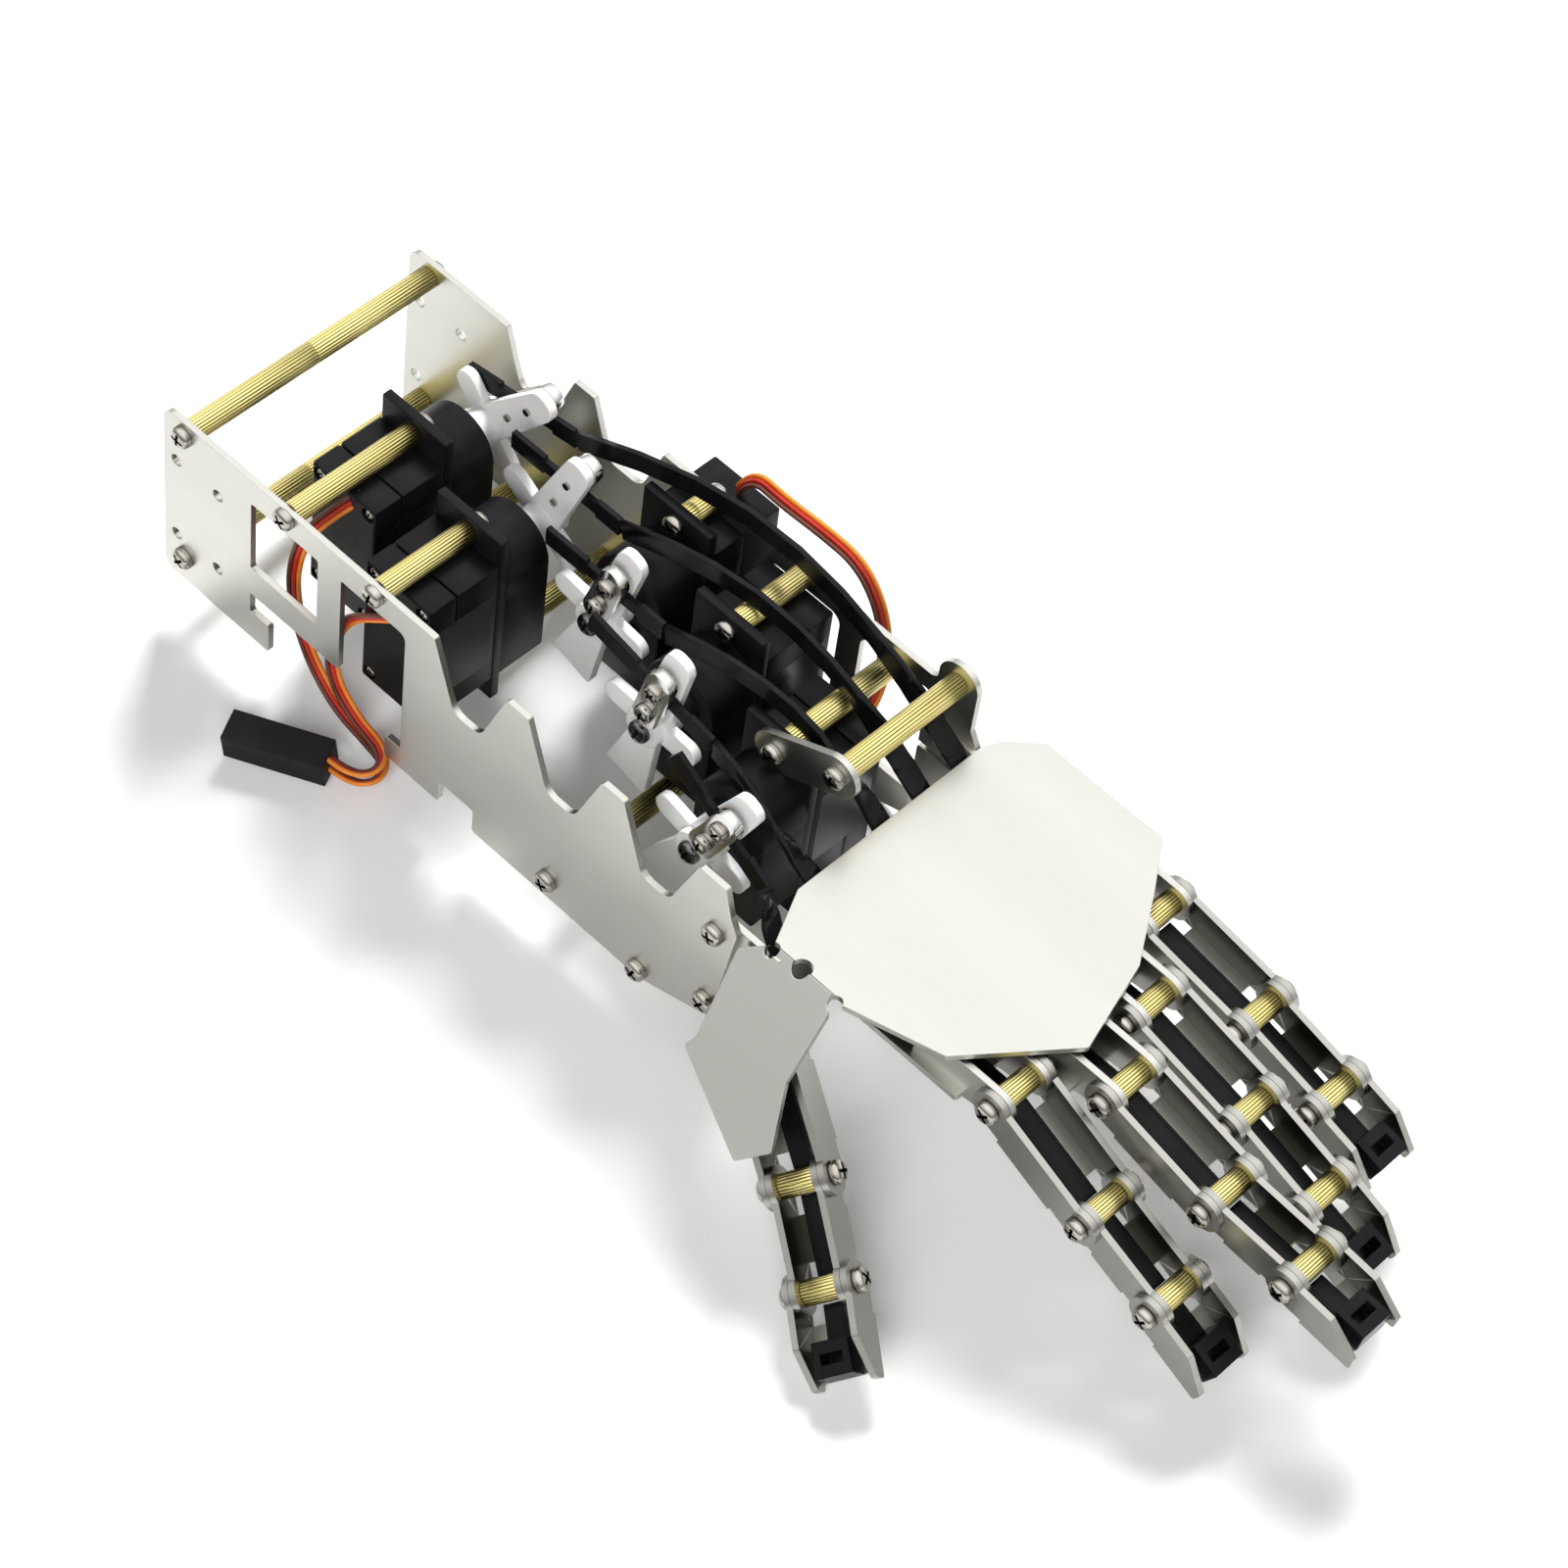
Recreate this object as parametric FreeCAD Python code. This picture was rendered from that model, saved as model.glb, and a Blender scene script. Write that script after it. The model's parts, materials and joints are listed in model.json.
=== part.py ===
import math
import os

import FreeCAD
import Part

# Left robot hand on a forearm frame.
# X runs from the elbow end to the fingers, Y from the thumb side to the little finger side, Z up.
# X is 0 at the rear edges, Y is 0 midway between the side plates, Z is 0 at their lower edges.
# All lengths are in millimetres and all angles in degrees.

# Margins of the cutting shapes, and shares of the largest round that a corner takes
cut_margin = 1.0
joining_gap = 1e-4
full_round = 0.99
near_round = 0.95
arm_round = 0.9

# Forearm frame
sheet = 1.5
standoff_length = 35.0
standoff_diameter = 5.5
screw_hole = 3.2
plate_top = 52.2
rear_corner = 3.0
edge_corner = 0.8
window_corner = 2.0
cross_x = 6.5
cross_low_z = 7.6
cross_high_z = 48.1
mount_x = 4.0
mount_z = 13.5
mount_pitch_x = 13.4
mount_pitch_z = 24.5
front_end = 174.6
chin_x = 150.3
chin_tip_x = 170.3
chin_tip_z = 7.4
wrist_screw_x = 168.8
wrist_screw_high = 36.0
wrist_screw_low = 12.0

# Left side plate
panel_end = 28.0
hook_end = 34.1
hook_height = 8.7
slot_top = 15.0
bar_height = 8.5
rim_height = 7.2
window_end = 49.1
bay_left = 56.2
bay_right = 76.2
foot_left = 71.5
foot_height = 6.5
heel_left = 88.5
heel_width = 10.6
heel_height = 7.0
notch_first = 84.6
notch_pitch = 28.1
notch_width = 21.7
notch_floor_width = 8.0
notch_depth = 18.5
notch_radius = 4.0
last_tooth = 7.7
shoulder_x = 172.4
shoulder_z = 44.6
front_top_z = 40.2

# Right side plate
right_panel_end = 31.0
right_notch_width = 21.5
right_tooth_width = 6.0
right_notch_lean = 5.6
right_notch_depth = 15.5
right_window_first = 112.3
right_window_pitch = 27.8
right_window_width = 21.6
right_window_bottom = 11.5
right_window_top = 47.0
servo_window_margin = 0.6
servo_window_radius = 1.0
right_window_radius = 3.0
ear_x = 166.7
ear_z = 55.9
ear_radius = 5.4
ear_fillet = 2.0
right_shoulder_z = 44.7

# Servos
servo_first_x = 39.0
servo_pitch = 27.7
servo_width = 20.0
servo_height = 38.4
servo_mid_z = 28.0
thumb_servo_drop = 3.0
tab_length = 7.0
tab_thickness = 2.5
tab_hole_gap = 0.25
body_depth = 20.0
gear_depth = 13.0
shaft_rise = 8.5
boss_radius = 6.0
boss_height = 2.0
shaft_radius = 2.9
case_rib = 1.2
cap_seam = 8.0
ring_setback = 10.0
bracket_clearance = 0.3
middle_standoff = 8.0
index_standoff = 20.0

# Horns
horn_gap = 0.5
hub_radius = 4.6
hub_length = 8.5
arm_thickness = 2.2
arm_setback = 4.0
shaft_fit = 0.06
clamp_arm_length = 27.5
clamp_arm_width = 7.0
side_arm_length = 13.2
side_arm_width = 6.0
flare_length = 23.0
flare_width = 12.0
side_arm_lean = 4.0
clamp_inner_screw = 10.5
clamp_outer_screw = 19.3
clamp_length = 19.5
clamp_width = 7.0
clamp_thickness = 2.6
clamp_screw_radius = 2.4
clamp_shank_radius = 1.0
clamp_head = 1.6
hub_screw_radius = 2.8
hub_screw_head = 1.6
pinky_arm_angle = 40.0
ring_arm_angle = 22.0
middle_arm_angle = 17.0
index_arm_angle = 13.0
thumb_arm_angle = 26.0

# Ties
tie_width = 4.8
tie_thickness = 1.3
tie_side_gap = 0.3
tie_neck_width = 3.2
tie_neck_length = 8.0
tie_run = 15.0
tie_split = 0.9
tie_twist_length = 20.0
tie_flat_length = 7.0
tie_steps = 12
tie_probe = 0.001
tie_end_x = 181.0
tie_end_z = 34.5
thumb_tie_end_z = 32.6
pinky_tie_inset = 4.6
pinky_tie_pitch = -10.0
pinky_tie_tail = 18.0
pinky_tie_arch = 10.5
pinky_tie_sway = 5.6
pinky_tie_fall = 4.0
ring_tie_inset = 16.5
ring_tie_pitch = 0.0
ring_tie_tail = 18.0
ring_tie_arch = 7.2
ring_tie_sway = 3.5
ring_tie_fall = 3.6
middle_tie_inset = 28.8
middle_tie_pitch = 0.0
middle_tie_tail = 20.0
middle_tie_arch = 4.2
middle_tie_sway = 1.0
middle_tie_fall = 3.2
index_tie_inset = 22.0
index_tie_pitch = 12.0
index_tie_tail = 22.0
index_tie_arch = 0.0
index_tie_sway = 0.0
index_tie_fall = 1.5
thumb_tie_inset = 7.0
thumb_tie_pitch = 32.0
thumb_tie_tail = 18.0
thumb_tie_arch = 0.0
thumb_tie_sway = 0.0
thumb_tie_fall = 1.0

# Servo leads, plugs and the slope of the surface that the frame leans on
lead_width = 3.4
plug_length = 24.0
plug_width = 7.8
plug_height = 3.8
plug_split = 16.0
plug_heading = 25.4
surface_slope = 7.85
inner_plug_width = 9.0
inner_plug_height = 5.0
inner_plug_z = 18.0
inner_plug_x = 144.2
inner_plug_length = 10.5
lead_bend_share = 0.45

# Palm
palm_top = 42.2
palm_rear = 175.2
thumb_bend_y = -33.8
thumb_bend_start = 182.0
thumb_bend_end = 199.6
palm_left_front_x = 223.5
palm_left_front_y = -26.7
palm_tip_x = 241.3
palm_tip_y = -3.7
palm_mid_x = 234.8
palm_mid_y = 19.0
palm_right_front_x = 224.7
palm_right_front_y = 34.9
palm_right_reach = 10.5
palm_right_start = 183.8
palm_right_end = 216.8
palm_bevel = 6.4
relief_radius = 1.6
bend_hole_x = 189.4
bend_hole_radius = 2.2
bend_hole_inset = 1.0
wrist_tab_start = 160.5
wrist_tab_end = 185.0
wrist_tab_drop = 10.2

# Thumb flange, sizes measured on the flange from its bend
flange_angle = 48.8
flange_left_x = 175.7
flange_shoulder = 4.8
flange_left_low_x = 178.8
flange_left_low = 25.1
flange_heel_x = 177.6
flange_heel = 28.2
flange_toe_x = 200.7
flange_toe = 40.1
flange_tip_x = 206.4
flange_tip = 33.5
flange_notch_x = 200.6
flange_notch = 20.2
skirt_depth = 5.0
thumb_heading = 37.7
thumb_root_x = 188.6
thumb_root = 19.65
thumb_root_depth = 7.0
thumb_cheek_back = 9.0

# Knuckle frame
lower_plate_top = 31.2
lower_plate_rear = 178.0
lower_left_reach = 8.0
lower_right_start = 188.0
knuckle_z = 35.2
index_y = -18.0
finger_pitch = 18.0
index_knuckle_x = 235.6
middle_knuckle_x = 249.7
ring_knuckle_x = 240.1
pinky_knuckle_x = 226.1
cheek_reach = 22.0
cheek_toe_share = 0.2
plate_setback = 8.0

# Fingers
spacer_half = 4.55
spacer_diameter = 5.5
link_gap = 0.1
pivot_radius = 1.5
pivot_clearance = 0.1
head_radius = 2.7
head_height = 2.2
end_radius = 4.6
first_length = 29.3
second_length = 22.2
cheek_rise = 3.3
cheek_drop = 5.5
web_setback = 6.2
tip_top_length = 11.5
tip_length = 19.6
tip_nose = 1.6
tie_head_start = 10.6
tie_head_length = 7.6
tie_head_half = 4.2
tie_head_rise = 1.6
tie_head_window = 2.4
index_droop = 25.2
index_bend = -1.7
middle_droop = 14.3
middle_bend = -10.3
ring_droop = 13.8
ring_bend = 5.2
pinky_droop = 9.7
pinky_bend = 5.2
fingertip_bend = 2.0
thumb_droop = 6.1
thumb_bend = -9.4
thumb_tip_bend = -8.5

# Derived sizes of the frame
inner_half = standoff_length
outer_half = inner_half + sheet
standoff_radius = standoff_diameter / 2
hole_radius = screw_hole / 2
servo_half = servo_width / 2
case_half = servo_height / 2
tab_hole_reach = case_half + standoff_radius + tab_hole_gap
lead_radius = lead_width / 2
spacer_radius = spacer_diameter / 2
inner_out = spacer_half + sheet
lower_left_y = index_y - lower_left_reach
palm_right_y = index_y + 3 * finger_pitch + palm_right_reach
outer_in = inner_out + link_gap
outer_out = outer_in + sheet
head_in = outer_out + link_gap
head_out = head_in + head_height


def vec(x, y, z):
    return FreeCAD.Vector(x, y, z)


def side_view(y):
    return lambda u, w: vec(u, y, w)


def top_view(z):
    return lambda u, w: vec(u, w, z)


def outline(corners, place):
    # Each corner is a pair of plane coordinates and the radius that rounds it.
    count = len(corners)
    starts = []
    middles = []
    ends = []
    for index in range(count):
        before = corners[index - 1]
        here = corners[index]
        after = corners[(index + 1) % count]
        back = (before[0] - here[0], before[1] - here[1])
        ahead = (after[0] - here[0], after[1] - here[1])
        back_length = math.hypot(back[0], back[1])
        ahead_length = math.hypot(ahead[0], ahead[1])
        back = (back[0] / back_length, back[1] / back_length)
        ahead = (ahead[0] / ahead_length, ahead[1] / ahead_length)
        cosine = back[0] * ahead[0] + back[1] * ahead[1]
        half = math.acos(max(-1.0, min(1.0, cosine))) / 2
        radius = here[2]
        reach = radius / math.tan(half)
        mid = (back[0] + ahead[0], back[1] + ahead[1])
        mid_length = math.hypot(mid[0], mid[1])
        depth = radius / math.sin(half) - radius
        starts.append(place(here[0] + back[0] * reach, here[1] + back[1] * reach))
        ends.append(place(here[0] + ahead[0] * reach, here[1] + ahead[1] * reach))
        if radius > 0:
            middles.append(place(here[0] + mid[0] / mid_length * depth,
                                 here[1] + mid[1] / mid_length * depth))
        else:
            middles.append(None)
    edges = []
    for index in range(count):
        if middles[index] is not None:
            edges.append(Part.Arc(starts[index], middles[index], ends[index]).toShape())
        following = starts[(index + 1) % count]
        if ends[index].distanceToPoint(following) > joining_gap:
            edges.append(Part.makeLine(ends[index], following))
    return Part.Wire(edges)


def slab(corners, place, push):
    return Part.Face(outline(corners, place)).extrude(push)


def rod(start, end, radius):
    axis = end - start
    return Part.makeCylinder(radius, axis.Length, start, axis)


def block(x0, x1, y0, y1, z0, z1):
    return Part.makeBox(x1 - x0, y1 - y0, z1 - z0, vec(x0, y0, z0))


def across(x, z, y0, y1, radius):
    return rod(vec(x, y0, z), vec(x, y1, z), radius)


def obround(first, second, radius, place, push):
    along = (second[0] - first[0], second[1] - first[1])
    length = math.hypot(along[0], along[1])
    along = (along[0] / length * radius, along[1] / length * radius)
    aside = (-along[1], along[0])
    corners = [
        (first[0] - along[0] - aside[0], first[1] - along[1] - aside[1], radius * full_round),
        (second[0] + along[0] - aside[0], second[1] + along[1] - aside[1], radius * full_round),
        (second[0] + along[0] + aside[0], second[1] + along[1] + aside[1], radius * full_round),
        (first[0] - along[0] + aside[0], first[1] - along[1] + aside[1], radius * full_round),
    ]
    return slab(corners, place, push)


def fuse(shapes):
    whole = shapes[0]
    for shape in shapes[1:]:
        whole = whole.fuse(shape)
    return whole.removeSplitter()


def group(shapes):
    return Part.makeCompound(shapes)


def save(node, shape):
    shape.exportStep("parts/" + node + ".step")


def seat(origin, along, across_axis, upward):
    # Carries a shape from its own axes to a place and three directions of the frame.
    matrix = FreeCAD.Matrix(
        along.x, across_axis.x, upward.x, origin.x,
        along.y, across_axis.y, upward.y, origin.y,
        along.z, across_axis.z, upward.z, origin.z,
        0, 0, 0, 1)
    return FreeCAD.Placement(matrix)


def placed(shape, placement):
    copy = shape.copy()
    copy.Placement = placement
    return copy


os.makedirs("parts", exist_ok=True)

# Servo stations: place along the forearm, height, back of the mounting tab and way the shaft faces
servo_x = [servo_first_x + servo_pitch * count for count in range(5)]
pinky_tab_y = 0.0
ring_tab_y = -ring_setback
middle_tab_y = inner_half - middle_standoff
index_tab_y = inner_half - index_standoff
thumb_tab_y = tab_thickness
thumb_servo_z = servo_mid_z - thumb_servo_drop
stations = {
    "pinky": (servo_x[0], servo_mid_z, pinky_tab_y, 1, pinky_arm_angle),
    "ring": (servo_x[1], servo_mid_z, ring_tab_y, 1, ring_arm_angle),
    "middle": (servo_x[2], servo_mid_z, middle_tab_y, -1, middle_arm_angle),
    "index": (servo_x[3], servo_mid_z, index_tab_y, -1, index_arm_angle),
    "thumb": (servo_x[4], thumb_servo_z, thumb_tab_y, -1, thumb_arm_angle),
}
high_hole = servo_mid_z + tab_hole_reach
low_hole = servo_mid_z - tab_hole_reach
thumb_high_hole = thumb_servo_z + tab_hole_reach
thumb_low_hole = thumb_servo_z - tab_hole_reach

# Screw places on the side plates
cross_places = [(cross_x, cross_low_z), (cross_x, cross_high_z)]
mount_places = [(mount_x + mount_pitch_x * column, mount_z + mount_pitch_z * row)
                for column in range(2) for row in range(2)]
wrist_places = [(wrist_screw_x, wrist_screw_high), (wrist_screw_x, wrist_screw_low)]
left_screws = cross_places + wrist_places + [
    (servo_x[0], high_hole),
    (servo_x[1], high_hole),
    (servo_x[3], low_hole),
    (servo_x[4], thumb_low_hole),
]
right_screws = cross_places + wrist_places + [
    (servo_x[0], low_hole),
    (servo_x[1], low_hole),
    (servo_x[2], low_hole),
    (servo_x[2], high_hole),
    (servo_x[3], high_hole),
    (servo_x[4], thumb_high_hole),
    (ear_x, ear_z),
]

# Left side plate
rim_bottom = plate_top - rim_height
left_corners = [
    (0, 0, rear_corner),
    (hook_end, 0, edge_corner),
    (hook_end, hook_height, edge_corner),
    (panel_end, hook_height, edge_corner),
    (panel_end, slot_top, edge_corner),
    (bay_left, slot_top, edge_corner),
    (bay_left, rim_bottom, edge_corner),
    (bay_right, rim_bottom, window_corner),
    (bay_right, foot_height, edge_corner),
    (foot_left, foot_height, edge_corner),
    (foot_left, 0, edge_corner),
    (heel_left, 0, edge_corner),
    (heel_left, heel_height, edge_corner),
    (heel_left + heel_width, heel_height, edge_corner),
    (heel_left + heel_width, 0, edge_corner),
    (chin_x, 0, edge_corner),
    (chin_tip_x, chin_tip_z, edge_corner),
    (front_end, front_top_z, edge_corner),
    (shoulder_x, shoulder_z, edge_corner),
    (notch_first + notch_width + notch_pitch * 2 + last_tooth, plate_top, edge_corner),
]
notch_lean = (notch_width - notch_floor_width) / 2
for count in (2, 1, 0):
    start = notch_first + notch_pitch * count
    left_corners.append((start + notch_width, plate_top, edge_corner))
    left_corners.append((start + notch_width - notch_lean, plate_top - notch_depth, notch_radius))
    left_corners.append((start + notch_lean, plate_top - notch_depth, notch_radius))
    left_corners.append((start, plate_top, edge_corner))
left_corners.append((0, plate_top, rear_corner))
left_plate = slab(left_corners, side_view(-outer_half), vec(0, sheet, 0))
left_window = slab([
    (panel_end, slot_top + bar_height, edge_corner),
    (window_end, slot_top + bar_height, edge_corner),
    (window_end, rim_bottom, edge_corner),
    (panel_end, rim_bottom, edge_corner),
], side_view(-outer_half - sheet), vec(0, 3 * sheet, 0))
left_plate = left_plate.cut(left_window)
for x, z in left_screws + mount_places:
    left_plate = left_plate.cut(across(x, z, -outer_half - sheet, -inner_half + sheet, hole_radius))
save("left_side_plate", left_plate)

# Right side plate
second_notch = right_panel_end + right_notch_width + right_tooth_width
right_floor = plate_top - right_notch_depth
right_corners = [
    (0, 0, rear_corner),
    (chin_x, 0, edge_corner),
    (chin_tip_x, chin_tip_z, edge_corner),
    (front_end, front_top_z, edge_corner),
    (ear_x + ear_radius, right_shoulder_z, edge_corner),
    (ear_x + ear_radius, ear_z + ear_radius, ear_radius * full_round),
    (ear_x - ear_radius, ear_z + ear_radius, ear_radius * full_round),
    (ear_x - ear_radius, plate_top, ear_fillet),
]
for start in (second_notch, right_panel_end):
    right_corners.append((start + right_notch_width, plate_top, edge_corner))
    right_corners.append((start + right_notch_width - right_notch_lean, right_floor, notch_radius))
    right_corners.append((start + right_notch_lean, right_floor, notch_radius))
    right_corners.append((start, plate_top, edge_corner))
right_corners.append((0, plate_top, rear_corner))
right_plate = slab(right_corners, side_view(inner_half), vec(0, sheet, 0))
servo_window = slab([
    (servo_x[2] - servo_half - servo_window_margin, servo_mid_z - case_half - servo_window_margin,
     servo_window_radius),
    (servo_x[2] + servo_half + servo_window_margin, servo_mid_z - case_half - servo_window_margin,
     servo_window_radius),
    (servo_x[2] + servo_half + servo_window_margin, servo_mid_z + case_half + servo_window_margin,
     servo_window_radius),
    (servo_x[2] - servo_half - servo_window_margin, servo_mid_z + case_half + servo_window_margin,
     servo_window_radius),
], side_view(inner_half - sheet), vec(0, 3 * sheet, 0))
right_plate = right_plate.cut(servo_window)
for count in range(2):
    start = right_window_first + right_window_pitch * count
    window = slab([
        (start, right_window_bottom, right_window_radius),
        (start + right_window_width, right_window_bottom, right_window_radius),
        (start + right_window_width, right_window_top, right_window_radius),
        (start, right_window_top, right_window_radius),
    ], side_view(inner_half - sheet), vec(0, 3 * sheet, 0))
    right_plate = right_plate.cut(window)
for x, z in right_screws + mount_places:
    right_plate = right_plate.cut(across(x, z, inner_half - sheet, outer_half + sheet, hole_radius))
save("right_side_plate", right_plate)

# Rear crossbars, two standoffs end to end on each axis
crossbars = []
for x, z in cross_places:
    crossbars.append(across(x, z, -inner_half, 0, standoff_radius))
    crossbars.append(across(x, z, 0, inner_half, standoff_radius))
save("rear_crossbars", group(crossbars))

# Standoffs of the servos
pinky_tab_front = pinky_tab_y + tab_thickness
ring_tab_front = ring_tab_y + tab_thickness
index_tab_front = index_tab_y - tab_thickness
thumb_tab_front = thumb_tab_y - tab_thickness
save("servo_standoffs", group([
    across(servo_x[0], high_hole, -inner_half, pinky_tab_y, standoff_radius),
    across(servo_x[0], low_hole, pinky_tab_front, inner_half, standoff_radius),
    across(servo_x[1], high_hole, -inner_half, ring_tab_y, standoff_radius),
    across(servo_x[1], low_hole, ring_tab_front, inner_half, standoff_radius),
    across(servo_x[2], high_hole, middle_tab_y, inner_half, standoff_radius),
    across(servo_x[2], low_hole, middle_tab_y, inner_half, standoff_radius),
    across(servo_x[3], high_hole, index_tab_y, inner_half, standoff_radius),
    across(servo_x[3], low_hole, -inner_half, index_tab_front, standoff_radius),
    across(servo_x[4], thumb_low_hole, -inner_half, thumb_tab_front, standoff_radius),
]))
save("guide_standoffs", group([
    across(servo_x[4], thumb_high_hole, thumb_tab_y, inner_half, standoff_radius),
    across(ear_x, ear_z, thumb_tab_front, inner_half, standoff_radius),
]))

# Guide bracket over the front servo
bracket = obround((servo_x[4], thumb_high_hole), (ear_x, ear_z), ear_radius,
                  side_view(thumb_tab_front - sheet), vec(0, sheet, 0))
for x, z in ((servo_x[4], thumb_high_hole), (ear_x, ear_z)):
    bracket = bracket.cut(across(x, z, thumb_tab_front - 2 * sheet, thumb_tab_front + sheet, hole_radius))
bite_radius = servo_half + bracket_clearance
bracket = bracket.cut(across(servo_x[4], thumb_servo_z + shaft_rise, thumb_tab_front - 2 * sheet,
                             thumb_tab_front + sheet, bite_radius))
save("guide_bracket", bracket)


# One servo with its shaft along +Y, its tab starting at Y 0 and its case centre at X 0, Z 0
def servo():
    back = block(-servo_half, servo_half, -body_depth, 0, -case_half, case_half)
    back = back.cut(block(-servo_half - cut_margin, servo_half + cut_margin,
                          -body_depth - cut_margin, -body_depth + cap_seam,
                          case_half - case_rib, case_half + cut_margin))
    tab = block(-servo_half, servo_half, 0, tab_thickness, -case_half - tab_length, case_half + tab_length)
    front_y = tab_thickness + gear_depth
    gear_case = block(-servo_half, servo_half, tab_thickness, front_y, -case_half, shaft_rise)
    turret = across(0, shaft_rise, tab_thickness, front_y, servo_half)
    boss = across(0, shaft_rise, front_y, front_y + boss_height, boss_radius)
    shaft = across(0, shaft_rise, front_y, front_y + boss_height + hub_length / 2, shaft_radius)
    shape = fuse([back, tab, gear_case, turret, boss, shaft])
    for z in (-tab_hole_reach, tab_hole_reach):
        shape = shape.cut(across(0, z, -cut_margin, tab_thickness + cut_margin, hole_radius))
    return shape


servo_shape = servo()
servo_places = {}
for name, (x, z, tab_y, facing, angle) in stations.items():
    along = vec(facing, 0, 0)
    servo_places[name] = seat(vec(x, tab_y, z), along, vec(0, facing, 0), vec(0, 0, 1))
left_servos = group([placed(servo_shape, servo_places[name]) for name in ("pinky", "ring")])
right_servos = group([placed(servo_shape, servo_places[name]) for name in ("middle", "index", "thumb")])
save("left_servos", left_servos)
save("right_servos", right_servos)


def screw(x, z, face_y, outward, shank):
    # A pan head on a face across Y, with its shank running inwards from the face.
    head = across(x, z, face_y, face_y + outward * head_height, head_radius)
    stem = across(x, z, face_y - outward * shank, face_y, pivot_radius)
    return fuse([head, stem])


# Screws that hold the servo tabs and the guide bracket
tab_screws = [
    screw(servo_x[0], high_hole, pinky_tab_front, 1, tab_thickness),
    screw(servo_x[0], low_hole, pinky_tab_y, -1, tab_thickness),
    screw(servo_x[1], high_hole, ring_tab_front, 1, tab_thickness),
    screw(servo_x[1], low_hole, ring_tab_y, -1, tab_thickness),
    screw(servo_x[2], high_hole, middle_tab_y - tab_thickness, -1, tab_thickness),
    screw(servo_x[2], low_hole, middle_tab_y - tab_thickness, -1, tab_thickness),
    screw(servo_x[3], high_hole, index_tab_front, -1, tab_thickness),
    screw(servo_x[3], low_hole, index_tab_y, 1, tab_thickness),
    screw(servo_x[4], thumb_low_hole, thumb_tab_y, 1, tab_thickness),
    screw(servo_x[4], thumb_high_hole, thumb_tab_front - sheet, -1, tab_thickness + sheet),
    screw(ear_x, ear_z, thumb_tab_front - sheet, -1, sheet),
]
save("servo_tab_screws", group(tab_screws))

# Screws on the side plates
frame_screws = [screw(x, z, -outer_half, -1, sheet) for x, z in cross_places]
frame_screws += [screw(x, z, -outer_half, -1, sheet) for x, z in left_screws[4:]]
frame_screws += [screw(x, z, outer_half, 1, sheet) for x, z in cross_places]
frame_screws += [screw(x, z, outer_half, 1, sheet) for x, z in right_screws[4:]]
frame_screws += [screw(x, z, -outer_half, -1, 2 * sheet) for x, z in wrist_places]
frame_screws += [screw(x, z, outer_half, 1, 2 * sheet) for x, z in wrist_places]
save("frame_screws", group(frame_screws))

# Directions of the thumb flange
lean = math.radians(flange_angle)
heading = math.radians(thumb_heading)
flange_down = vec(0, -math.cos(lean), -math.sin(lean))
flange_out = vec(0, -math.sin(lean), math.cos(lean))
flange_start = vec(0, thumb_bend_y, palm_top)
thumb_along = vec(1, 0, 0) * math.cos(heading) + flange_down * math.sin(heading)
thumb_axis = flange_out.cross(thumb_along)


def on_flange(depth):
    return lambda u, w: flange_start + vec(u, 0, 0) + flange_down * w - flange_out * depth


# Palm plate with its wrist tabs, side flange and thumb flange
palm_corners = [
    (palm_rear, inner_half, edge_corner),
    (palm_rear, lower_left_y + palm_bevel, edge_corner),
    (thumb_bend_start, thumb_bend_y, 0),
    (thumb_bend_end, thumb_bend_y, 0),
    (palm_left_front_x, palm_left_front_y, edge_corner),
    (palm_tip_x, palm_tip_y, edge_corner),
    (palm_mid_x, palm_mid_y, edge_corner),
    (palm_right_front_x, palm_right_front_y, edge_corner),
    (palm_right_end, palm_right_y, edge_corner),
    (palm_right_start, palm_right_y, edge_corner),
    (palm_right_start - palm_bevel, palm_right_y - palm_bevel, edge_corner),
]
palm = slab(palm_corners, top_view(palm_top - sheet), vec(0, 0, sheet))
flange_corners = [
    (thumb_bend_start, -sheet / 2, 0),
    (flange_left_x, flange_shoulder, edge_corner),
    (flange_left_low_x, flange_left_low, edge_corner),
    (flange_heel_x, flange_heel, edge_corner),
    (flange_toe_x, flange_toe, edge_corner),
    (flange_tip_x, flange_tip, edge_corner),
    (flange_notch_x, flange_notch, edge_corner),
    (thumb_bend_end, -sheet / 2, 0),
]
flange = slab(flange_corners, on_flange(sheet), flange_out * sheet)
wrist_left = block(wrist_tab_start, wrist_tab_end, -inner_half, -inner_half + sheet,
                   palm_top - wrist_tab_drop, palm_top - sheet / 2)
wrist_right = block(wrist_tab_start, wrist_tab_end, inner_half - sheet, inner_half,
                    palm_top - wrist_tab_drop, palm_top - sheet / 2)
wrist_left = wrist_left.cut(block(wrist_tab_start - cut_margin, thumb_bend_start, -outer_half, 0,
                                  palm_top - sheet, palm_top + sheet))
wrist_right = wrist_right.cut(block(wrist_tab_start - cut_margin, palm_rear, 0, outer_half,
                                    palm_top - sheet, palm_top + sheet))
side_flange = block(palm_right_start, palm_right_end, palm_right_y - sheet, palm_right_y,
                    lower_plate_top - sheet, palm_top - sheet / 2)
palm = fuse([palm, flange, wrist_left, wrist_right, side_flange])
for x in (thumb_bend_start, thumb_bend_end):
    palm = palm.cut(rod(vec(x, thumb_bend_y, palm_top - 3 * sheet), vec(x, thumb_bend_y, palm_top + sheet),
                        relief_radius))
hole_y = thumb_bend_y + bend_hole_inset
palm = palm.cut(rod(vec(bend_hole_x, hole_y, palm_top - 3 * sheet),
                    vec(bend_hole_x, hole_y, palm_top + sheet), bend_hole_radius))
for x, z in wrist_places[:1]:
    palm = palm.cut(across(x, z, -outer_half, outer_half, hole_radius))

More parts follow.
